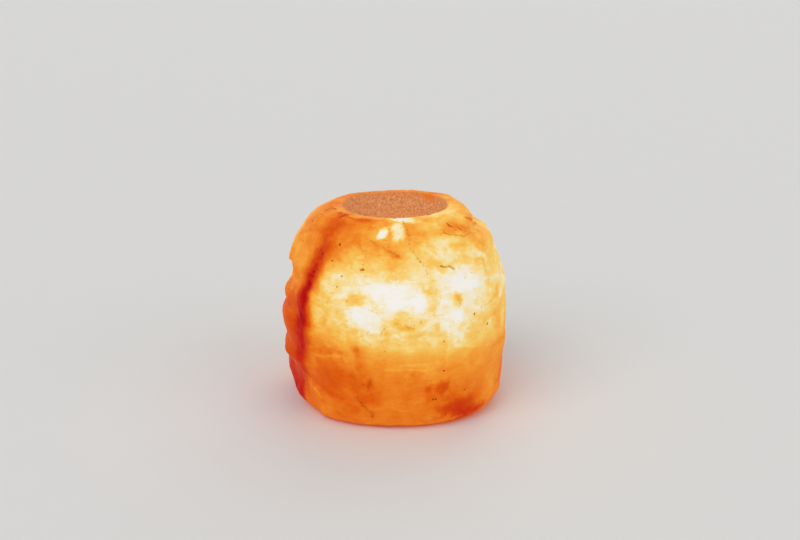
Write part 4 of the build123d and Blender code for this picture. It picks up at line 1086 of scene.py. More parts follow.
    def _contour(self, graph: Graph, place: object, scale: float, width: float,
                 patch_scale: float) -> bpy.types.NodeSocket:
        """Thin winding lines where clouds pass their middle value, in some places only.

        Args:
            graph: The material's graph.
            place: Where the clouds are read.
            scale: How many clouds to the metre.
            width: How far from the middle value a line still shows.
            patch_scale: How many places with lines to the metre.
        Returns:
            The lines, from 0 to 1.
        """
        clouds = graph.noise(place, scale, detail=3.0, roughness=0.6)
        away = graph.math("ABSOLUTE", graph.math("SUBTRACT", clouds, 0.5))
        line = graph.spread(away, low=0.0, high=width, to_low=1.0, to_high=0.0)
        places = graph.noise(place, patch_scale, detail=1.0, roughness=0.5)
        return graph.math("MULTIPLY", line, graph.spread(places, low=0.50, high=0.60))

    def _matt(self, graph: Graph, place: object, traces: dict) -> tuple:
        """The bowl's dull ground salt: pinkish grey, speckled, orange where light comes through.

        Args:
            graph: The material's graph.
            place: Object coordinates.
            traces: The mesh's attributes.
        Returns:
            The colour, and the speckle alone.
        """
        speckle = graph.noise(place, scale=620.0, detail=4.0, roughness=0.75)
        ground = graph.ramp(speckle, self.ground_salt)
        warm = graph.noise(place, scale=90.0, detail=3.0, roughness=0.6)
        clay = graph.spread(warm, low=0.45, high=0.72, to_low=0.0, to_high=0.35)
        tinted = graph.mix(clay, ground, opaque(self.ground_clay))
        lit = graph.spread(traces[Trace.GLOW], low=0.52, high=0.90)
        return graph.mix(lit, tinted, opaque(self.ground_lit)), speckle

    def _dark(self, graph: Graph, place: object, traces: dict,
              specks: list[tuple[Vector, float]]) -> bpy.types.NodeSocket:
        """Cracks from the mesh, broken up, with the grains of clay and fine dust.

        Args:
            graph: The material's graph.
            place: Object coordinates.
            traces: The mesh's attributes.
            specks: Centre and radius of each grain of clay, in metres.
        Returns:
            How dark the salt is, from 0 to 1.
        """
        broken = graph.noise(place, scale=1100.0, detail=3.0, roughness=0.7)
        broken = graph.spread(broken, low=0.3, high=0.7, to_low=-0.22, to_high=0.16)
        crack = graph.math("ADD", traces[Trace.CRACK], broken)
        dark = graph.math("MULTIPLY", graph.spread(crack, low=0.22, high=0.75), 0.85)
        wobble = graph.add("ShaderNodeTexNoise", {"Vector": place, "Scale": 900.0})
        centred = graph.vector("SUBTRACT", wobble.outputs["Color"], (0.5, 0.5, 0.5)).outputs[0]
        shift = graph.vector("MULTIPLY", centred, (0.0012, 0.0012, 0.0012)).outputs[0]
        moved = graph.vector("ADD", place, shift).outputs[0]
        for centre, radius in specks:
            away = graph.vector("DISTANCE", moved, tuple(centre)).outputs["Value"]
            strength = min(radius / self.full_grain, 1.0)
            spot = graph.spread(away, low=radius * 0.5, high=radius * 1.4, to_low=strength,
                                to_high=0.0)
            dark = graph.math("MAXIMUM", dark, spot)
        dust = graph.noise(place, scale=420.0, detail=2.0, roughness=0.5)
        dust = graph.spread(dust, low=0.72, high=0.77, to_low=0.0, to_high=0.35)
        return graph.math("MINIMUM", graph.math("MAXIMUM", dark, dust), 1.0)


# ------------------------------------------------------------------ the stone
@dataclass
class Rows:
    """The rows of the stone's surface, with each one's change of glow and its zone."""

    angles: np.ndarray              # of the columns, from the rear, in radians
    points: list[np.ndarray] = field(default_factory=list)
    tones: list[np.ndarray] = field(default_factory=list)
    zones: list[int] = field(default_factory=list)

    def add(self, row: np.ndarray, zone: Zone, tone: object = 0.0) -> None:
        """Adds a row of points, with how much its glow changes."""
        self.points.append(row)
        self.tones.append(tone * np.ones_like(self.angles))
        self.zones.append(zone.value)

    def turn(self, radius: object, height: object, zone: Zone,
             around: np.ndarray | None = None) -> None:
        """Adds a row round the axis.

        Args:
            radius: Its radius, by column or for all.
            height: Its height, by column or for all.
            zone: The zone it belongs to.
            around: Its own angles, where they aren't the columns'.
        """
        angle = (self.angles if around is None else around) + np.pi / 2
        level = height * np.ones_like(self.angles)
        self.add(np.stack([radius * np.cos(angle), radius * np.sin(angle), level], -1), zone)


@dataclass
class SaltStone:
    """The hewn block with its bowl, bore and cord groove, as one closed surface.

    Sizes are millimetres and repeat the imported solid; its box and the bowl's radius come from
    the frame. Rows run from the middle of the bowl's floor over the rim, down the outside, in
    under the foot, and up the bore to the middle of its roof. Columns run round the axis.
    """

    belly: float = 45.0             # height of the widest place
    crown_cut: float = 5.0          # how far past the top and the foot the outline would close
    foot_cut: float = 7.0
    crown_power: float = 3.0        # the higher, the squarer
    foot_power: float = 5.0
    plan_power: float = 2.2
    bowl_depth: float = 20.0
    bowl_corner: float = 5.0
    bore_radius: float = 22.0
    bore_top: float = 92.0
    bore_bevel: float = 0.5
    groove_half: float = 6.0
    groove_rise: float = 12.0
    groove_corner: float = 4.0
    groove_columns: tuple = (-1.0, -0.4, -0.02, 0.02)   # places of extra columns beside its wall
    kept_half: float = 8.0          # columns within this of the groove's middle run along it
    foot_bevel: float = 0.8
    foot_round: float = 0.25
    level_from: float = 40.0        # from here up to under the rim, the rows are level
    level_under_top: float = 14.0
    smallest_ring: float = 2.0      # radius of the rings next to the two poles
    foot_share: float = 0.88        # the foot's radius at the groove as a share of half the depth
    lip: float = 0.9
    thinnest_rim: float = 1.7
    columns: int = 400
    front_density: float = 0.48
    outside_rows: int = 186
    chips: int = 420
    chip_depth: tuple = (0.10, 0.40)
    chip_lean: float = 4.0          # degrees
    facet_reach: float = 24.0
    chip_reach: float = 8.0
    softness: float = 0.14          # how softly the planes meet
    deepest_cut: float = 3.2
    ledge_waves: float = 1.3        # how uneven the ledges' lines are
    rough_depth: float = 0.28
    pit_depth: float = 0.22
    fine_depth: float = 0.10
    stand_out: float = 0.25         # makes up for what roughness takes away on average
    facet_glow: float = 0.026       # how much facets change the glow, at random
    # painted shade: how far the glow is dulled where ledges, roughness and pits set the surface
    # back
    step_glow: float = 0.09
    mean_step: float = 0.5
    rim_wear: float = 0.45
    rim_chip: float = 0.40
    rim_under_top: float = 0.12
    squareness: float = 2.6         # of the patches of glow: 2 is an ellipse
    vein_glow: float = 0.12
    seed: int = 11
    name: str = "hewn_salt_stone"
    box: np.ndarray = field(init=False)
    bowl_radius: float = field(init=False)
    width: float = field(init=False)
    depth: float = field(init=False)
    bottom: float = field(init=False)
    top: float = field(init=False)
    foot_radius: float = field(init=False)
    per_degree: float = field(init=False)       # millimetres for a degree round the stone
    chip_table: np.ndarray = field(init=False)
    fit: tuple[np.ndarray, np.ndarray] = field(init=False)

    def __post_init__(self) -> None:
        """Reads the stone's box and the bowl's radius from the frame."""
        self.box = np.array([list(corner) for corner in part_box("salt_block")]) / MM
        bowl = next(m for m in frame["record"]["mounts"] if m["name"] == "bowl")
        self.bowl_radius = bowl["dims"]["r_mm"]
        self.width, self.depth = (self.box[1] - self.box[0])[:2]
        self.bottom, self.top = self.box[:, 2]
        self.foot_radius = self.depth / 2 * self.foot_share
        self.per_degree = np.radians(1.0) * self.width / 2
        self.chip_table = self._chip_table()
        self.fit = self._fit()

    # -------------------------------------------------------------- the outside's formula
    def _plan(self, azimuth: np.ndarray) -> np.ndarray:
        """Radius seen from above: (|cos/half width|^p + |sin/half depth|^p)^(-1/p)."""
        angle = np.radians(azimuth)
        across = np.abs(np.cos(angle) / (self.width / 2)) ** self.plan_power
        along = np.abs(np.sin(angle) / (self.depth / 2)) ** self.plan_power
        return (across + along) ** (-1.0 / self.plan_power)

    def _share(self, height: np.ndarray) -> np.ndarray:
        """Width as a share of the belly's: (1 - (rise / reach)^p)^(1/p), over and under it."""
        over = height > self.belly
        reach = np.where(over, self.top + self.crown_cut - self.belly,
                         self.belly + self.foot_cut - self.bottom)
        power = np.where(over, self.crown_power, self.foot_power)
        rise = np.abs(height - self.belly) / reach
        return (1.0 - rise**power) ** (1.0 / power)

    def _plain_radius(self, azimuth: np.ndarray, height: np.ndarray) -> np.ndarray:
        """Plan radius times share, plus each swell as size * exp(-(angle)^2 - (rise)^2)."""
        radius = self._plan(azimuth) * self._share(height)
        for swell in SWELLS:
            sideways = degrees_apart(azimuth, swell.azimuth) / swell.half_width
            upwards = (height - swell.height) / swell.half_height
            radius = radius + swell.size * np.exp(-(sideways**2) - upwards**2)
        return radius

    def _chip_table(self) -> np.ndarray:
        """Planes that cut the stone: normal x, y, z, distance, azimuth, height, reach, tone.

        The hewn facets come first, then seeded small chips. A plane goes through a point at its
        depth under the surface, and leans from the surface there.
        """
        rng = np.random.default_rng(self.seed)
        small = np.column_stack([
            rng.uniform(0, 360, self.chips), rng.uniform(self.bottom + 1, self.top - 1, self.chips),
            rng.uniform(*self.chip_depth, self.chips),
            rng.normal(0, self.chip_lean, (self.chips, 2)),
        ])
        facets = hewn_facets()
        azimuth, height, depth, side, rise = np.concatenate([facets, small]).T
        side, rise = np.tan(np.radians(side)), np.tan(np.radians(rise))
        count = len(azimuth)
        reach = np.where(np.arange(count) < len(facets), self.facet_reach, self.chip_reach)
        near = 0.5
        radius = self._plain_radius(azimuth, height)
        slope_up = (self._plain_radius(azimuth, height + near)
                    - self._plain_radius(azimuth, height - near)) / (2 * near)
        slope_round = (self._plain_radius(azimuth + near, height)
                       - self._plain_radius(azimuth - near, height)) / np.radians(2 * near)
        angle = np.radians(azimuth)
        out = np.stack([np.cos(angle), np.sin(angle), np.zeros(count)], 1)
        tangent = np.stack([-np.sin(angle), np.cos(angle), np.zeros(count)], 1)
        normal = out + tangent * (side - slope_round / radius)[:, None]
        normal[:, 2] = rise - slope_up
        normal /= np.linalg.norm(normal, axis=1)[:, None]
        point = out * radius[:, None]
        point[:, 2] = height
        distance = np.sum(normal * point, 1) - depth
        tone = rng.normal(0, 1, count)
        return np.column_stack([normal, distance, azimuth, height, reach, tone])

    def _hewn(self, azimuth: np.ndarray, height: np.ndarray) -> tuple[np.ndarray, np.ndarray]:
        """The radius after chipping, and each place's facet tone.

        A plane n.p = d meets the ray at height z where radius = (d - nz z) / (n.ray), and lifts
        off the stone with the fourth power of the way from its own place, by 1 mm at its reach.
        The radii are joined by a soft minimum: R - s log(1 + sum exp((R - radius) / s)).
        """
        radius = self._plain_radius(azimuth, height)
        angle = np.radians(azimuth)
        cosine, sine = np.cos(angle), np.sin(angle)
        least_facing, facing_enough, largest_power = 0.2, 0.35, 60.0
        total = np.zeros(np.broadcast(azimuth, height).shape)
        toned = np.zeros_like(total)
        for nx, ny, nz, distance, where, level, reach, tone in self.chip_table:
            facing = nx * cosine + ny * sine
            away = np.hypot(degrees_apart(azimuth, where) * self.per_degree, height - level)
            lift = (away / reach) ** 4
            cut = (distance - nz * height) / np.maximum(facing, least_facing) + lift
            power = np.clip((radius - cut) / self.softness, -largest_power, largest_power)
            weight = np.where(facing > facing_enough, np.exp(power), 0.0)
            total += weight
            toned += weight * tone
        taken = self.softness * np.log1p(total)
        taken = self.deepest_cut * (1.0 - np.exp(-taken / self.deepest_cut))
        return radius - taken, toned / (1.0 + total)

    def _stepped(self, azimuth: np.ndarray, height: np.ndarray, points: np.ndarray) -> np.ndarray:
        """How far ledges and roughness set the surface back, in millimetres.

        A ledge takes drop * step(rise / edge) * exp(-(rise / fade)^2) * window(angle), where
        rise is the height over its line, which noise makes uneven.
        """
        uneven = Noise(Draw.LEDGE_LINES).clouds(points, size=9.0) * self.ledge_waves
        back = np.zeros(points.shape[:-1])
        for ledge in LEDGES + self._seeded_ledges():
            sideways = degrees_apart(azimuth, ledge.azimuth)
            rise = height - ledge.height - ledge.slant * sideways + uneven
            window = np.exp(-(sideways / ledge.half_width) ** 4)
            edge = step(rise, start=-0.4, end=0.6)
            back += ledge.drop * edge * np.exp(-(rise / ledge.fade) ** 2) * window
        rough = self.rough_depth * (Noise(Draw.ROUGH).clouds(points, size=7.0) + 0.7)
        pits = self.pit_depth * step(Noise(Draw.PITS).clouds(points, size=4.5), 0.25, 0.8)
        fine = self.fine_depth * (Noise(Draw.FINE).clouds(points, size=2.2, octaves=2) + 0.7)
        return back + rough + pits + fine

    def _seeded_ledges(self) -> tuple[Ledge, ...]:
        """Small ledges at seeded places all round."""
        rng = np.random.default_rng(self.seed + 1)
        count, least, most = 46, (0, 6, 5, 0.15, 2.5, -0.2), (360, 118, 16, 0.5, 6.0, 0.2)
        return tuple(Ledge(*row) for row in rng.uniform(least, most, (count, len(least))))

    def _fit(self) -> tuple[np.ndarray, np.ndarray]:
        """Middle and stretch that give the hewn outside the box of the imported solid."""
        under_rim, margin = 4.0, 0.8
        azimuth = np.linspace(0, 360, 181)[None, :-1]
        height = np.linspace(self.bottom, self.top - under_rim, 50)[:, None]
        radius, _ = self._hewn(azimuth, height)
        angle = np.radians(azimuth)
        flat = np.stack([radius * np.cos(angle), radius * np.sin(angle)])
        low, high = flat.min(axis=(1, 2)), flat.max(axis=(1, 2))
        size = np.array([self.width, self.depth])
        return (low + high) / 2, (size - margin) / (high - low)

    def outside(self, azimuth: np.ndarray, height: np.ndarray) -> tuple[np.ndarray, np.ndarray]:
        """Points of the hewn outside.

        Args:
            azimuth: Degrees, 0 at +X and 90 at the rear.
            height: Millimetres.
        Returns:
            The points, with x, y and z last, and how its facet changes the glow, with painted shade
            where steps set it back.
        """
        azimuth, height = np.broadcast_arrays(azimuth, height)
        radius, tone = self._hewn(azimuth, height)
        angle = np.radians(azimuth)
        rough = np.stack([radius * np.cos(angle), radius * np.sin(angle), height], -1)
        back = self._stepped(azimuth, height, rough)
        radius = radius - back + self.stand_out
        middle, stretch = self.fit
        x = (radius * np.cos(angle) - middle[0]) * stretch[0]
        y = (radius * np.sin(angle) - middle[1]) * stretch[1]
        # a facet's tone changes the glow at random; painted shade dulls it where the surface is set
        # back
        change = self.facet_glow * tone - self.step_glow * (back - self.mean_step)
        return np.stack([x, y, height], -1), change

    # -------------------------------------------------------------- the grid
    def _column_angles(self) -> np.ndarray:
        """Angles from the rear, in radians: closer at the front, with pairs at the groove."""
        even = np.linspace(-np.pi, np.pi, self.columns, endpoint=False)
        angles = even + self.front_density * np.sin(even)
        beside = self.groove_half + np.array(self.groove_columns)
        extra = np.arcsin(beside / self.foot_radius)
        return np.sort(np.concatenate([angles, extra, -extra]))

    def _groove_lines(self, radius: np.ndarray, angles: np.ndarray) -> np.ndarray:
        """Turns the columns near the groove parallel to it at any radius.

        Where |x| < kept_half at the foot, x is kept: angle = asin(x / radius). The others
        share what is left of the half turn evenly.
        """
        x = self.foot_radius * np.sin(angles)
        edge_foot = np.arcsin(self.kept_half / self.foot_radius)
        edge_here = np.arcsin(self.kept_half / radius)
        near = np.abs(angles) < edge_foot
        spread = (np.abs(angles) - edge_foot) / (np.pi - edge_foot)
        far = np.sign(angles) * (edge_here + spread * (np.pi - edge_here))
        return np.where(near, np.arcsin(np.where(near, x, 0.0) / radius), far)

    def _groove_roof(self, angles: np.ndarray) -> np.ndarray:
        """The groove's rise over the underside, with its rounded upper corners, by column."""
        x = np.abs(self.foot_radius * np.sin(angles))
        inside = (x < self.groove_half) & (np.abs(angles) < np.pi / 2)
        past = np.clip(x - (self.groove_half - self.groove_corner), 0.0, self.groove_corner)
        round_off = self.groove_corner - np.sqrt(self.groove_corner**2 - past**2)
        return np.where(inside, self.groove_rise - round_off, 0.0)

    def _even_heights(self) -> np.ndarray:
        """Heights from rim to foot at even steps along the mean outline."""
        fine = np.linspace(self.top, self.bottom, 800)
        outline = self.width / 2 * self._share(fine)
        length = np.concatenate([[0], np.cumsum(np.hypot(np.diff(fine), np.diff(outline)))])
        return np.interp(np.linspace(0, length[-1], self.outside_rows), length, fine)

    def _rim_heights(self, azimuth: np.ndarray) -> np.ndarray:
        """The rim's height by column: the top, or lower where the stone is too thin for it."""
        deepest, tried = 12.0, 49
        height = np.linspace(self.top, self.top - deepest, tried)[:, None]
        points, _ = self.outside(azimuth[None, :], height)
        thick = np.hypot(points[..., 0], points[..., 1]) - self.bowl_radius - self.thinnest_rim
        first = np.argmax(thick > 0, axis=0)
        column = np.arange(len(azimuth))
        before = np.maximum(first - 1, 0)
        upper, lower = thick[before, column], thick[first, column]
        share = np.where(first == 0, 0.0, upper / np.minimum(upper - lower, -1e-6))
        rim = height[before, 0] + share * (height[first, 0] - height[before, 0])
        angle = np.radians(azimuth)
        ring = np.stack([np.cos(angle), np.sin(angle), 0 * angle], -1) * self.bowl_radius
        wear = Noise(Draw.RIM_WEAR).clouds(ring, size=7.0) + 0.8
        worn = self.rim_wear * wear * step(self.top - rim, -1.0, 0.6)
        chips = Noise(Draw.RIM_CHIPS).clouds(ring, size=3.4, octaves=2)
        chipped = self.rim_chip * step(chips, 0.05, 0.6)
        return rim - self.rim_under_top - 0.5 * worn - chipped

    def _outside_heights(self, rim: np.ndarray, roof: np.ndarray) -> np.ndarray:
        """Heights of the outside's rows: level in the middle, bent towards rim and foot.

        Args:
            rim: The rim's height by column.
            roof: The groove's rise by column.
        Returns:
            Heights by row and column.
        """
        even = self._even_heights()[:, None]
        start, over = self.level_from, self.top - self.level_under_top
        low = self.bottom + roof + self.foot_bevel
        squeezed = low + (even - self.bottom) * (start - low) / (start - self.bottom)
        heights = np.where(even > start, even, squeezed)
        near_rim = over + (even - over) * (rim - over) / (self.top - over)
        return np.where(even > over, near_rim, heights)

    def _add_bowl(self, rows: Rows, rim: np.ndarray) -> None:
        """Adds the bowl's floor, its rounded corner, its wall and the lip at the rim."""
        floor, corner = self.top - self.bowl_depth, self.bowl_corner
        inner, start = self.bowl_radius - corner, floor + corner
        for radius in np.linspace(self.smallest_ring, inner, 8):
            rows.turn(radius, floor, Zone.BOWL_FLOOR)
        for bend in np.linspace(0, np.pi / 2, 6)[1:]:
            rows.turn(inner + corner * np.sin(bend), floor + corner * (1 - np.cos(bend)),
                      Zone.BOWL_FLOOR)
        for share in np.linspace(0, 1, 11)[1:]:
            rows.turn(self.bowl_radius, start + share * (rim - self.lip - start), Zone.BOWL_WALL)
        for bend in np.linspace(0, np.pi / 2, 4)[1:]:
            rows.turn(self.bowl_radius + self.lip * (1 - np.cos(bend)),
                      rim - self.lip * (1 - np.sin(bend)), Zone.RIM)

    def _add_underside(self, rows: Rows, foot: np.ndarray, under: np.ndarray) -> None:
        """Adds the underside with its groove, the bore and the bore's roof.

        Args:
            rows: The rows so far.
            foot: The outside's lowest row.
            under: The underside's height by column.
        """
        reach = np.hypot(foot[:, 0], foot[:, 1])
        real = np.arctan2(foot[:, 1], foot[:, 0]) - np.pi / 2
        real = (real + np.pi) % (2 * np.pi) - np.pi
        rows.turn(reach - self.foot_round, under + self.foot_round, Zone.UNDERSIDE, real)
        bevel = self.bore_bevel
        for share in np.linspace(0, 1, 9):
            radius = (reach - self.foot_bevel) * (1 - share) + (self.bore_radius + bevel) * share
            lines = self._groove_lines(radius, rows.angles)
            blend = step(np.array(share), start=0.0, end=0.12)
            rows.turn(radius, under, Zone.UNDERSIDE, real * (1 - blend) + lines * blend)
        bore_lines = self._groove_lines(np.full_like(rows.angles, self.bore_radius), rows.angles)
        for share in np.linspace(0, 1, 12):
            height = under + bevel + share * (self.bore_top - under - bevel)
            rows.turn(self.bore_radius, height, Zone.BORE, bore_lines)
        for radius in np.linspace(self.bore_radius, self.smallest_ring, 5)[1:]:
            rows.turn(radius, self.bore_top, Zone.BORE_ROOF, bore_lines)

    def grid(self) -> Rows:
        """Works out every row of the surface.

        Returns:
            The rows, from the bowl's floor to the bore's roof.
        """
        angles = self._column_angles()
        azimuth = np.degrees(angles) + 90.0
        rim, roof = self._rim_heights(azimuth), self._groove_roof(angles)
        rows = Rows(angles)
        self._add_bowl(rows, rim)
        inside_edge = rows.points[-1]
        outer, facet = self.outside(azimuth[None, :], self._outside_heights(rim, roof))
        for share in np.linspace(0, 1, 9)[1:-1]:
            rows.add(inside_edge + share * (outer[0] - inside_edge), Zone.RIM)
        for row, tone in zip(outer, facet):
            rows.add(row, Zone.OUTSIDE, tone)
        self._add_underside(rows, outer[-1], self.bottom + roof)
        return rows

    # -------------------------------------------------------------- the glow
    def _base_glow(self, azimuth: np.ndarray, height: np.ndarray) -> np.ndarray:
        """The painted glow without marks: the bulb's light, bright beside the bulb, with the
        holder's painted shadow below its top.

        Args:
            azimuth: Azimuth of each place; the levels are lower at the front right.
            height: Height of each place.
        Returns:
            The glow, 0 to 1.
        """
        levels = (0, 8, 20, 32, 42, 50, 54.5, 58, 64, 75, 88, 96, 102, 108, 114, 121)
        glows = (0.42, 0.46, 0.455, 0.475, 0.555, 0.63, 0.68, 0.765, 0.815, 0.86, 0.88, 0.85, 0.81,
                 0.76, 0.70, 0.62)
        most_lowered, lowest_at = 6.5, 308.0
        away = np.abs(degrees_apart(azimuth, lowest_at))
        lowered = most_lowered * step(away, start=60.0, end=25.0)
        return np.interp(height + lowered, levels, glows)

    def _near_line(self, line: Line, points: np.ndarray) -> np.ndarray:
        """Distance in millimetres to a line that is laid on the stone from point to point.

        Args:
            line: The line, by azimuth and height.
            points: Places, with x, y and z last.
        Returns:
            The distance to the nearest of its straight pieces.
        """
        azimuth, height = np.array(line.points, float).T
        ends, _ = self.outside(azimuth, height)
        nearest = np.full(points.shape[:-1], np.inf)
        for start, end in zip(ends, ends[1:]):
            way = end - start
            along = np.clip((points - start) @ way / (way @ way), 0.0, 1.0)
            gap = points - start - along[..., None] * way
            nearest = np.minimum(nearest, np.linalg.norm(gap, axis=-1))
        return nearest

    def traces(self, rows: Rows) -> dict[Trace, np.ndarray]:
        """What each point of the surface carries for its finish.

        Args:
            rows: The surface.
        Returns:
            An array (rows, columns) for each trace.
        """
        points = np.array(rows.points)
        zone = np.array(rows.zones)[:, None] * np.ones_like(rows.angles)
        azimuth = np.degrees(np.arctan2(points[..., 1], points[..., 0])) % 360.0
        height = points[..., 2]
        warp_round = self._warp(points, Draw.WIDE_ROUND, Draw.CLOSE_ROUND, 1.2)
        warp_up = self._warp(points, Draw.WIDE_UP, Draw.CLOSE_UP, 1.0)
        glow = self._base_glow(azimuth, height + 0.6 * warp_up)
        glow = self._patched(glow, points, azimuth + warp_round / self.per_degree,
                             height + warp_up)
        glow = self._streaked(glow, points, azimuth + 0.5 * warp_round / self.per_degree, height)
        glow = self._lined(glow, points, np.stack([warp_round, warp_round, warp_up], -1))
        glow += np.array(rows.tones)
        crack = self._cracked(points)
        matt = np.zeros_like(glow)
        glow, crack, matt = self._cavities(points, zone, azimuth, glow, crack, matt)
        return {Trace.GLOW: glow, Trace.CRACK: crack, Trace.MATT: matt}

    def _warp(self, points: np.ndarray, wide: Draw, close: Draw, strength: float) -> np.ndarray:
        """How far marks are shifted at each point, in millimetres: wide waves and close ones."""
        waves = Noise(wide).clouds(points, size=9.0, octaves=3) * strength
        return waves + Noise(close).clouds(points, size=3.0, octaves=2) * 0.6

    def _patched(self, glow: np.ndarray, points: np.ndarray, azimuth: np.ndarray,
                 height: np.ndarray) -> np.ndarray:
        """The glow with its patches: each draws it towards its own, by strength * exp(-way^edge).

        The way from a patch's middle is (|u|^n + |v|^n)^(1/n) for the squareness n, with u and v
        as shares of its half sizes along its tilted axes, and noise makes it ragged.

        Args:
            glow: The glow without patches.
            points: Places, with x, y and z last.
            azimuth: Azimuth of each place, already warped.
            height: Height of each place, already warped.
        Returns:
            The glow with patches.
        """
        ragged = (1.0 + 0.35 * Noise(Draw.RAGGED_WIDE).clouds(points, size=3.4, octaves=2)
                  + 0.20 * Noise(Draw.RAGGED_CLOSE).clouds(points, size=1.5, octaves=1))
        power = self.squareness
        for patch in PATCHES:
            across = degrees_apart(azimuth, patch.azimuth) * self.per_degree
            up = height - patch.height
            turn = np.radians(patch.tilt)
            u = (across * np.cos(turn) + up * np.sin(turn)) / patch.half_width
            v = (up * np.cos(turn) - across * np.sin(turn)) / patch.half_height
            way = (np.abs(u) ** power + np.abs(v) ** power) ** (1 / power)
            weight = patch.strength * np.exp(-(way * ragged) ** patch.edge)
            glow += (patch.glow - glow) * weight
        return glow

    def _streaked(self, glow: np.ndarray, points: np.ndarray, azimuth: np.ndarray,
                  height: np.ndarray) -> np.ndarray:
        """The glow with the red streak: the limb to its left, a soft halo, then the streak.

        Its share falls off with the way from its middle as exp(-(way / half width)^2).

        Args:
            glow: The glow without the streak.
            points: Places, with x, y and z last.
            azimuth: Azimuth of each place, already warped.
            height: Height of each place.
        Returns:
            The glow with the streak.
        """
        wider_left, upper, lower = 0.8, -86.0, -66.0
        limb_share, limb_end, limb_full = 0.92, 62.0, 40.0
        halo_share, halo_width, halo_glow = 0.5, 1.9, 0.36
        levels, places, widths, cores, strengths, limbs = RED_BAND.T
        mottled = Noise(Draw.STREAK).clouds(points, size=5.0, octaves=3)
        away = degrees_apart(azimuth, np.interp(height, levels, places)) * self.per_degree
        way = away / (np.interp(height, levels, widths) * (1.0 + 0.18 * mottled))
        way = np.where(away < 0, way / (1.0 + wider_left * step(-height, upper, lower)), way)
        limb = limb_share * step(-way, 0.3, 1.3) * step(-away, limb_end, limb_full)
        glow = glow + (np.interp(height, levels, limbs) + 0.05 * mottled - glow) * limb
        cover = np.interp(height, levels, strengths)
        halo = halo_share * cover * np.exp(-(way / halo_width) ** 2)
        glow = glow + (halo_glow - glow) * halo
        core = np.interp(height, levels, cores)
        core = core + 0.08 * Noise(Draw.STREAK_MIDDLE).clouds(points, size=2.6, octaves=3)
        return glow + (core - glow) * cover * np.exp(-np.abs(way) ** 2.2)

    def _lined(self, glow: np.ndarray, points: np.ndarray, warp: np.ndarray) -> np.ndarray:
        """The glow with its veins, which dull it, and with its thin light and dull lines.

        Args:
            glow: The glow without lines.
            points: Places, with x, y and z last.
            warp: How far lines are shifted at each place.
        Returns:
            The glow with lines.
        """
        for vein in VEINS:
            away = self._near_line(vein, points + 1.1 * warp)
            width = Noise(Draw.VEIN_WIDTH).clouds(points, size=9.0, octaves=2)
            away = away / (vein.half_width * (1.0 + 0.35 * width))
            fade = Noise(Draw.VEIN_FADE).clouds(points, size=16.0, octaves=2)
            faded = vein.strength * (0.7 + 0.5 * fade)
            glow += (self.vein_glow - glow) * faded * np.exp(-(away**2))
        for line in GLOW_LINES:
            away = self._near_line(line, points + 0.3 * warp)
            glow += line.strength * np.exp(-(away / line.half_width) ** 2)
        return glow

    def _cracked(self, points: np.ndarray) -> np.ndarray:
        """How dark cracks make each point: strength * (1 - way / 2 half widths), from 0 to 1."""
        draws = Draw.SHAKEN_X, Draw.SHAKEN_Y, Draw.SHAKEN_Z
        shakes = [Noise(draw).clouds(points, size=2.6, octaves=2) for draw in draws]
        shaken = points + 0.5 * np.stack(shakes, -1)
        crack = np.zeros(points.shape[:-1])
        for line in CRACKS:
            away = self._near_line(line, shaken) / (2.0 * line.half_width)
            crack = np.maximum(crack, line.strength * np.clip(1.0 - away, 0.0, 1.0))
        return crack

    def _cavities(self, points: np.ndarray, zone: np.ndarray, azimuth: np.ndarray,
                  glow: np.ndarray, crack: np.ndarray, matt: np.ndarray) -> tuple:
        """The traces of rim, bowl, underside and bore, which light reaches in other ways.

        Args:
            points: Places, with x, y and z last.
            zone: The number of the zone of each place.
            azimuth: Azimuth of each place.
            glow: The glow of the outside.
            crack: How dark cracks make the outside.
            matt: How dull the outside is.
        Returns:
            Glow, crack and matt of the whole stone.
        """
        rear_at, spot_at, front_at, right_at, lip_at = 80.0, 48.0, 276.5, 322.0, 275.0
        radius, height = np.hypot(points[..., 0], points[..., 1]), points[..., 2]
        cloud = Noise(Draw.CAVITIES).clouds(points, size=8.0, octaves=3)
        rear = np.exp(-(degrees_apart(azimuth, rear_at) / 55.0) ** 4)
        spot = np.exp(-(degrees_apart(azimuth, spot_at) / 10.0) ** 2)
        front = np.exp(-(degrees_apart(azimuth, front_at) / 11.0) ** 4)
        right = np.exp(-(degrees_apart(azimuth, right_at) / 34.0) ** 2)
        floor = 0.80 - 0.28 * step(radius, start=4.0, end=30.0) + 0.06 * cloud
        upper = step(height, start=self.top - 8.0, end=self.top - 1.0)
        wall = 0.46 + 0.05 * cloud + upper * (0.20 * rear + 0.34 * spot)
        rim = 0.60 + 0.08 * cloud + 0.06 * np.cos(np.radians(azimuth - 330.0)) + 0.13 * right
        rim = rim + (0.99 - rim) * front - 0.14 * spot
        under = 0.34 - 0.10 * step(radius, start=60.0, end=30.0) + 0.06 * cloud
        bore = 0.30 + 0.64 * step(height, start=26.0, end=62.0) + 0.03 * cloud
        roof = 0.95 + 0 * bore
        dull_floor = 0.45 + 0.5 * step(radius, start=12.0, end=29.0)
        for kind, value, dull in (
            (Zone.BOWL_FLOOR, floor, dull_floor), (Zone.BOWL_WALL, wall, 1.0),
            (Zone.RIM, rim, 0.0), (Zone.UNDERSIDE, under, 0.0),
            (Zone.BORE, bore, 0.0), (Zone.BORE_ROOF, roof, 0.0),
        ):
            here = zone == kind.value
            glow = np.where(here, value, glow)
            matt = np.where(here, dull, matt)
            crack = np.where(here & (kind != Zone.RIM), 0.0, crack)
        lip = (zone == Zone.RIM.value) & (radius < self.bowl_radius + self.lip * 1.2)
        near_edge = np.exp(-(degrees_apart(azimuth, lip_at) / 52.0) ** 4)
        lighter = 0.87 + 0.12 * Noise(Draw.RIM_LIGHT).clouds(points, size=3.0, octaves=2)
        glow = np.where(lip, glow + np.maximum(lighter - glow, 0.0) * 0.85 * near_edge, glow)
        matt = np.where(lip, 0.35 * (1 - near_edge), matt)
        return glow, crack, matt

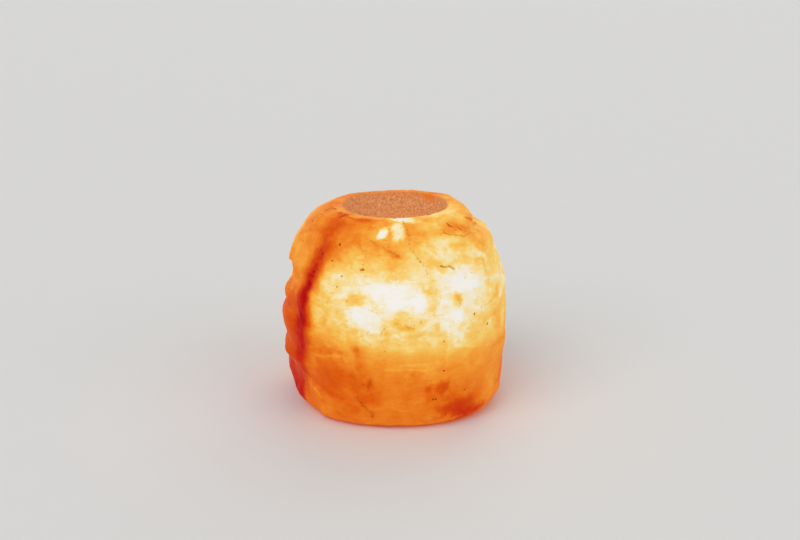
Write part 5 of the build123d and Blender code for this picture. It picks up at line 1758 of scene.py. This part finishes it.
    # -------------------------------------------------------------- the piece
    def build(self) -> bpy.types.Object:
        """Puts the grid, closed at both poles, into a mesh with its traces.

        Returns:
            The stone's object.
        """
        rows = self.grid()
        points = np.array(rows.points)
        count, around = points.shape[:2]
        poles = np.array([[0, 0, self.top - self.bowl_depth], [0, 0, self.bore_top]])
        vertices = np.concatenate([points.reshape(-1, 3), poles]) * MM
        index = np.arange(count * around).reshape(count, around)
        after = np.roll(index, -1, axis=1)
        quads = np.stack([index[:-1], index[1:], after[1:], after[:-1]], -1).reshape(-1, 4)
        first, last = count * around, count * around + 1
        start = np.stack([np.full(around, first), index[0], after[0]], -1)
        end = np.stack([index[-1], np.full(around, last), after[-1]], -1)
        mesh = bpy.data.meshes.new(self.name)
        mesh.from_pydata(vertices.tolist(), [], quads.tolist() + start.tolist() + end.tolist())
        mesh.polygons.foreach_set("use_smooth", np.ones(len(mesh.polygons), bool))
        for trace, values in self.traces(rows).items():
            attribute = mesh.attributes.new(trace.value, "FLOAT", "POINT")
            ends = np.array([values[0].mean(), values[-1].mean()])
            data = np.concatenate([values.ravel(), ends]).astype(np.float32)
            attribute.data.foreach_set("value", data)
        mesh.update()
        stone = bpy.data.objects.new(self.name, mesh)
        bpy.context.scene.collection.objects.link(stone)
        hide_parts("salt_block")
        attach(stone, "block")
        return stone

    def dress(self, stone: bpy.types.Object, effects: SharedEffects) -> None:
        """Gives the stone its salt, with the clay grains where the surface is."""
        azimuth = np.array([s.azimuth for s in SPECKS])
        height = np.array([s.height for s in SPECKS], float)
        centres, _ = self.outside(azimuth, height)
        specks = [(Vector(c * MM), s.radius * MM) for c, s in zip(centres, SPECKS)]
        stone.data.materials.append(SaltFinish().material(effects, specks))


# ------------------------------------------------------------------ the lamp unit
@dataclass
class LampUnit:
    """The lampholder, its grip and its sprung arms, and the bulb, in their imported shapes."""

    finishes: dict[str, object] = field(default_factory=lambda: {
        "black_plastic": MouldedFinish("black_moulded_plastic", (0.022, 0.021, 0.020),
                                       (0.012, 0.011, 0.011), 0.34, 1500.0, 0.25),
        "white_ceramic": MouldedFinish("glazed_steatite", (0.80, 0.77, 0.71), (0.70, 0.66, 0.60),
                                       0.22, 900.0, 0.12, coat=0.5, dust=0.2),
        "black_glass": MouldedFinish("black_cap_glass", (0.018, 0.016, 0.020),
                                     (0.008, 0.008, 0.010), 0.10, 400.0, 0.08, dust=0.05),
        "brass": MetalFinish("pressed_brass", (0.80, 0.56, 0.24), (0.55, 0.34, 0.12), 0.30),
        "zinc_steel": MetalFinish("zinc_plated_steel", (0.66, 0.67, 0.66), (0.50, 0.51, 0.50),
                                  0.36),
        "spring_steel": MetalFinish("blued_spring_steel", (0.36, 0.35, 0.36),
                                    (0.22, 0.20, 0.21), 0.30, Grain.ALONG_Z),
        "nickel": MetalFinish("nickel_plate", (0.72, 0.69, 0.63), (0.58, 0.54, 0.48), 0.22),
        "solder": MetalFinish("soft_solder", (0.62, 0.62, 0.63), (0.42, 0.42, 0.44), 0.42,
                              scratch_scale=500.0, scratch_depth=0.4),
        "wire": MetalFinish("drawn_wire", (0.60, 0.56, 0.52), (0.42, 0.38, 0.35), 0.26,
                            Grain.ALONG_Z),
        "clear_glass": GlassFinish(),
        "glowing_wire": GlowingWireFinish(),
        "felt": FeltFinish(),
    })

    def dress(self, effects: SharedEffects) -> dict[str, int]:
        """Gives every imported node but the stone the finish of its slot.

        Args:
            effects: The shared node groups.
        Returns:
            How many nodes each slot finished.
        """
        counts: dict[str, int] = {}
        for slot, finish in self.finishes.items():
            material = finish.material(effects)
            names = [part["node"] for part in frame["record"]["subparts"]
                     if part["material_slot"] == slot]
            for name in names:
                mesh = frame["nodes"][name].data
                mesh.materials.clear()
                mesh.materials.append(material)
            counts[slot] = len(names)
        return counts


# ------------------------------------------------------------------ floor, light, camera
@dataclass
class Studio:
    """A plain pale floor, soft light and the camera. Metres."""

    floor_half: float = 9.0
    floor_colour: Colour = (0.80, 0.79, 0.77)
    floor_darker: float = 0.985
    sky: Colour = (0.94, 0.95, 0.97)
    sky_strength: float = 0.50
    seen_strength: float = 0.95     # of the sky, for camera, mirrors and glass
    light_spread: float = 50.0      # degrees
    aim_height: float = 0.06
    camera_place: Place = (0.003, -0.635, 0.293)
    camera_tilt: float = 71.3       # degrees from straight down
    lens: float = 50.0
    sensor: float = 36.0

    def build(self) -> None:
        """Builds floor, light and camera."""
        self._floor()
        self._sky()
        self._light("key_light", (-0.75, -0.95, 1.15), 1.0)
        self._light("fill_light", (1.10, -0.70, 0.80), 0.45)
        self._light("rear_light", (0.30, 1.20, 1.10), 0.45)
        self._camera()

    def _floor(self) -> None:
        """A level grid under the pads."""
        line = np.linspace(-self.floor_half, self.floor_half, 13)
        x, y = np.meshgrid(line, line)
        vertices = np.stack([x, y, 0 * x], -1).reshape(-1, 3)
        index = np.arange(x.size).reshape(x.shape)
        quads = np.stack([index[:-1, :-1], index[:-1, 1:], index[1:, 1:], index[1:, :-1]], -1)
        mesh = bpy.data.meshes.new("studio_floor")
        mesh.from_pydata(vertices.tolist(), [], quads.reshape(-1, 4).tolist())
        floor = bpy.data.objects.new("studio_floor", mesh)
        bpy.context.scene.collection.objects.link(floor)
        material, graph, shader, place = start_material("pale_floor")
        paper = graph.noise(place, scale=30.0, detail=2.0)
        darker = tuple(self.floor_darker * c for c in self.floor_colour)
        graph.feed(shader.inputs["Base Color"],
                   graph.mix(paper, opaque(self.floor_colour), opaque(darker)))
        shader.inputs["Roughness"].default_value = 0.9
        shader.inputs["Specular IOR Level"].default_value = 0.1
        mesh.materials.append(material)

    def _sky(self) -> None:
        """An even pale sky, which camera, mirrors and glass see as white."""
        world = bpy.data.worlds.new("studio_sky")
        bpy.context.scene.world = world
        world.use_nodes = True
        graph = Graph(world.node_tree)
        path = graph.add("ShaderNodeLightPath")
        seen = graph.math("MAXIMUM", path.outputs["Is Camera Ray"],
                          graph.math("MAXIMUM", path.outputs["Is Glossy Ray"],
                                     path.outputs["Is Transmission Ray"]))
        strength = graph.spread(seen, 0.0, 1.0, self.sky_strength, self.seen_strength)
        sky = graph.add("ShaderNodeBackground", {"Color": opaque(self.sky), "Strength": strength})
        graph.add("ShaderNodeOutputWorld", {"Surface": sky.outputs[0]})

    def _light(self, name: str, place: Place, strength: float) -> None:
        """A broad soft light from a direction, even over the whole floor."""
        light = bpy.data.lights.new(name, "SUN")
        light.angle = np.radians(self.light_spread)
        light.energy = strength
        lamp = bpy.data.objects.new(name, light)
        lamp.location = place
        toward = Vector((0.0, 0.0, self.aim_height)) - Vector(place)
        lamp.rotation_euler = toward.to_track_quat("-Z", "Y").to_euler()
        bpy.context.scene.collection.objects.link(lamp)

    def _camera(self) -> None:
        """The camera in front, over the table, looking down."""
        data = bpy.data.cameras.new("camera")
        data.lens, data.sensor_width = self.lens, self.sensor
        camera = bpy.data.objects.new("camera", data)
        camera.location = self.camera_place
        camera.rotation_euler = (np.radians(self.camera_tilt), 0.0, 0.0)
        bpy.context.scene.collection.objects.link(camera)
        bpy.context.scene.camera = camera


def main() -> None:
    """Builds and dresses every piece in order."""
    logging.basicConfig(level=logging.INFO, format="%(name)s: %(message)s")
    scene = bpy.context.scene
    scene.view_settings.view_transform = "Standard"
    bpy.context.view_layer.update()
    effects = SharedEffects()
    effects.build()
    LOG.info("node groups: %s", ", ".join(sorted(effects.groups)))
    Studio().build()
    stone = SaltStone()
    piece = stone.build()
    stone.dress(piece, effects)
    LOG.info("stone: %d points, %d faces", len(piece.data.vertices), len(piece.data.polygons))
    for slot, count in LampUnit().dress(effects).items():
        LOG.info("finish %s: %d nodes", slot, count)


if __name__ == "__main__":
    main()
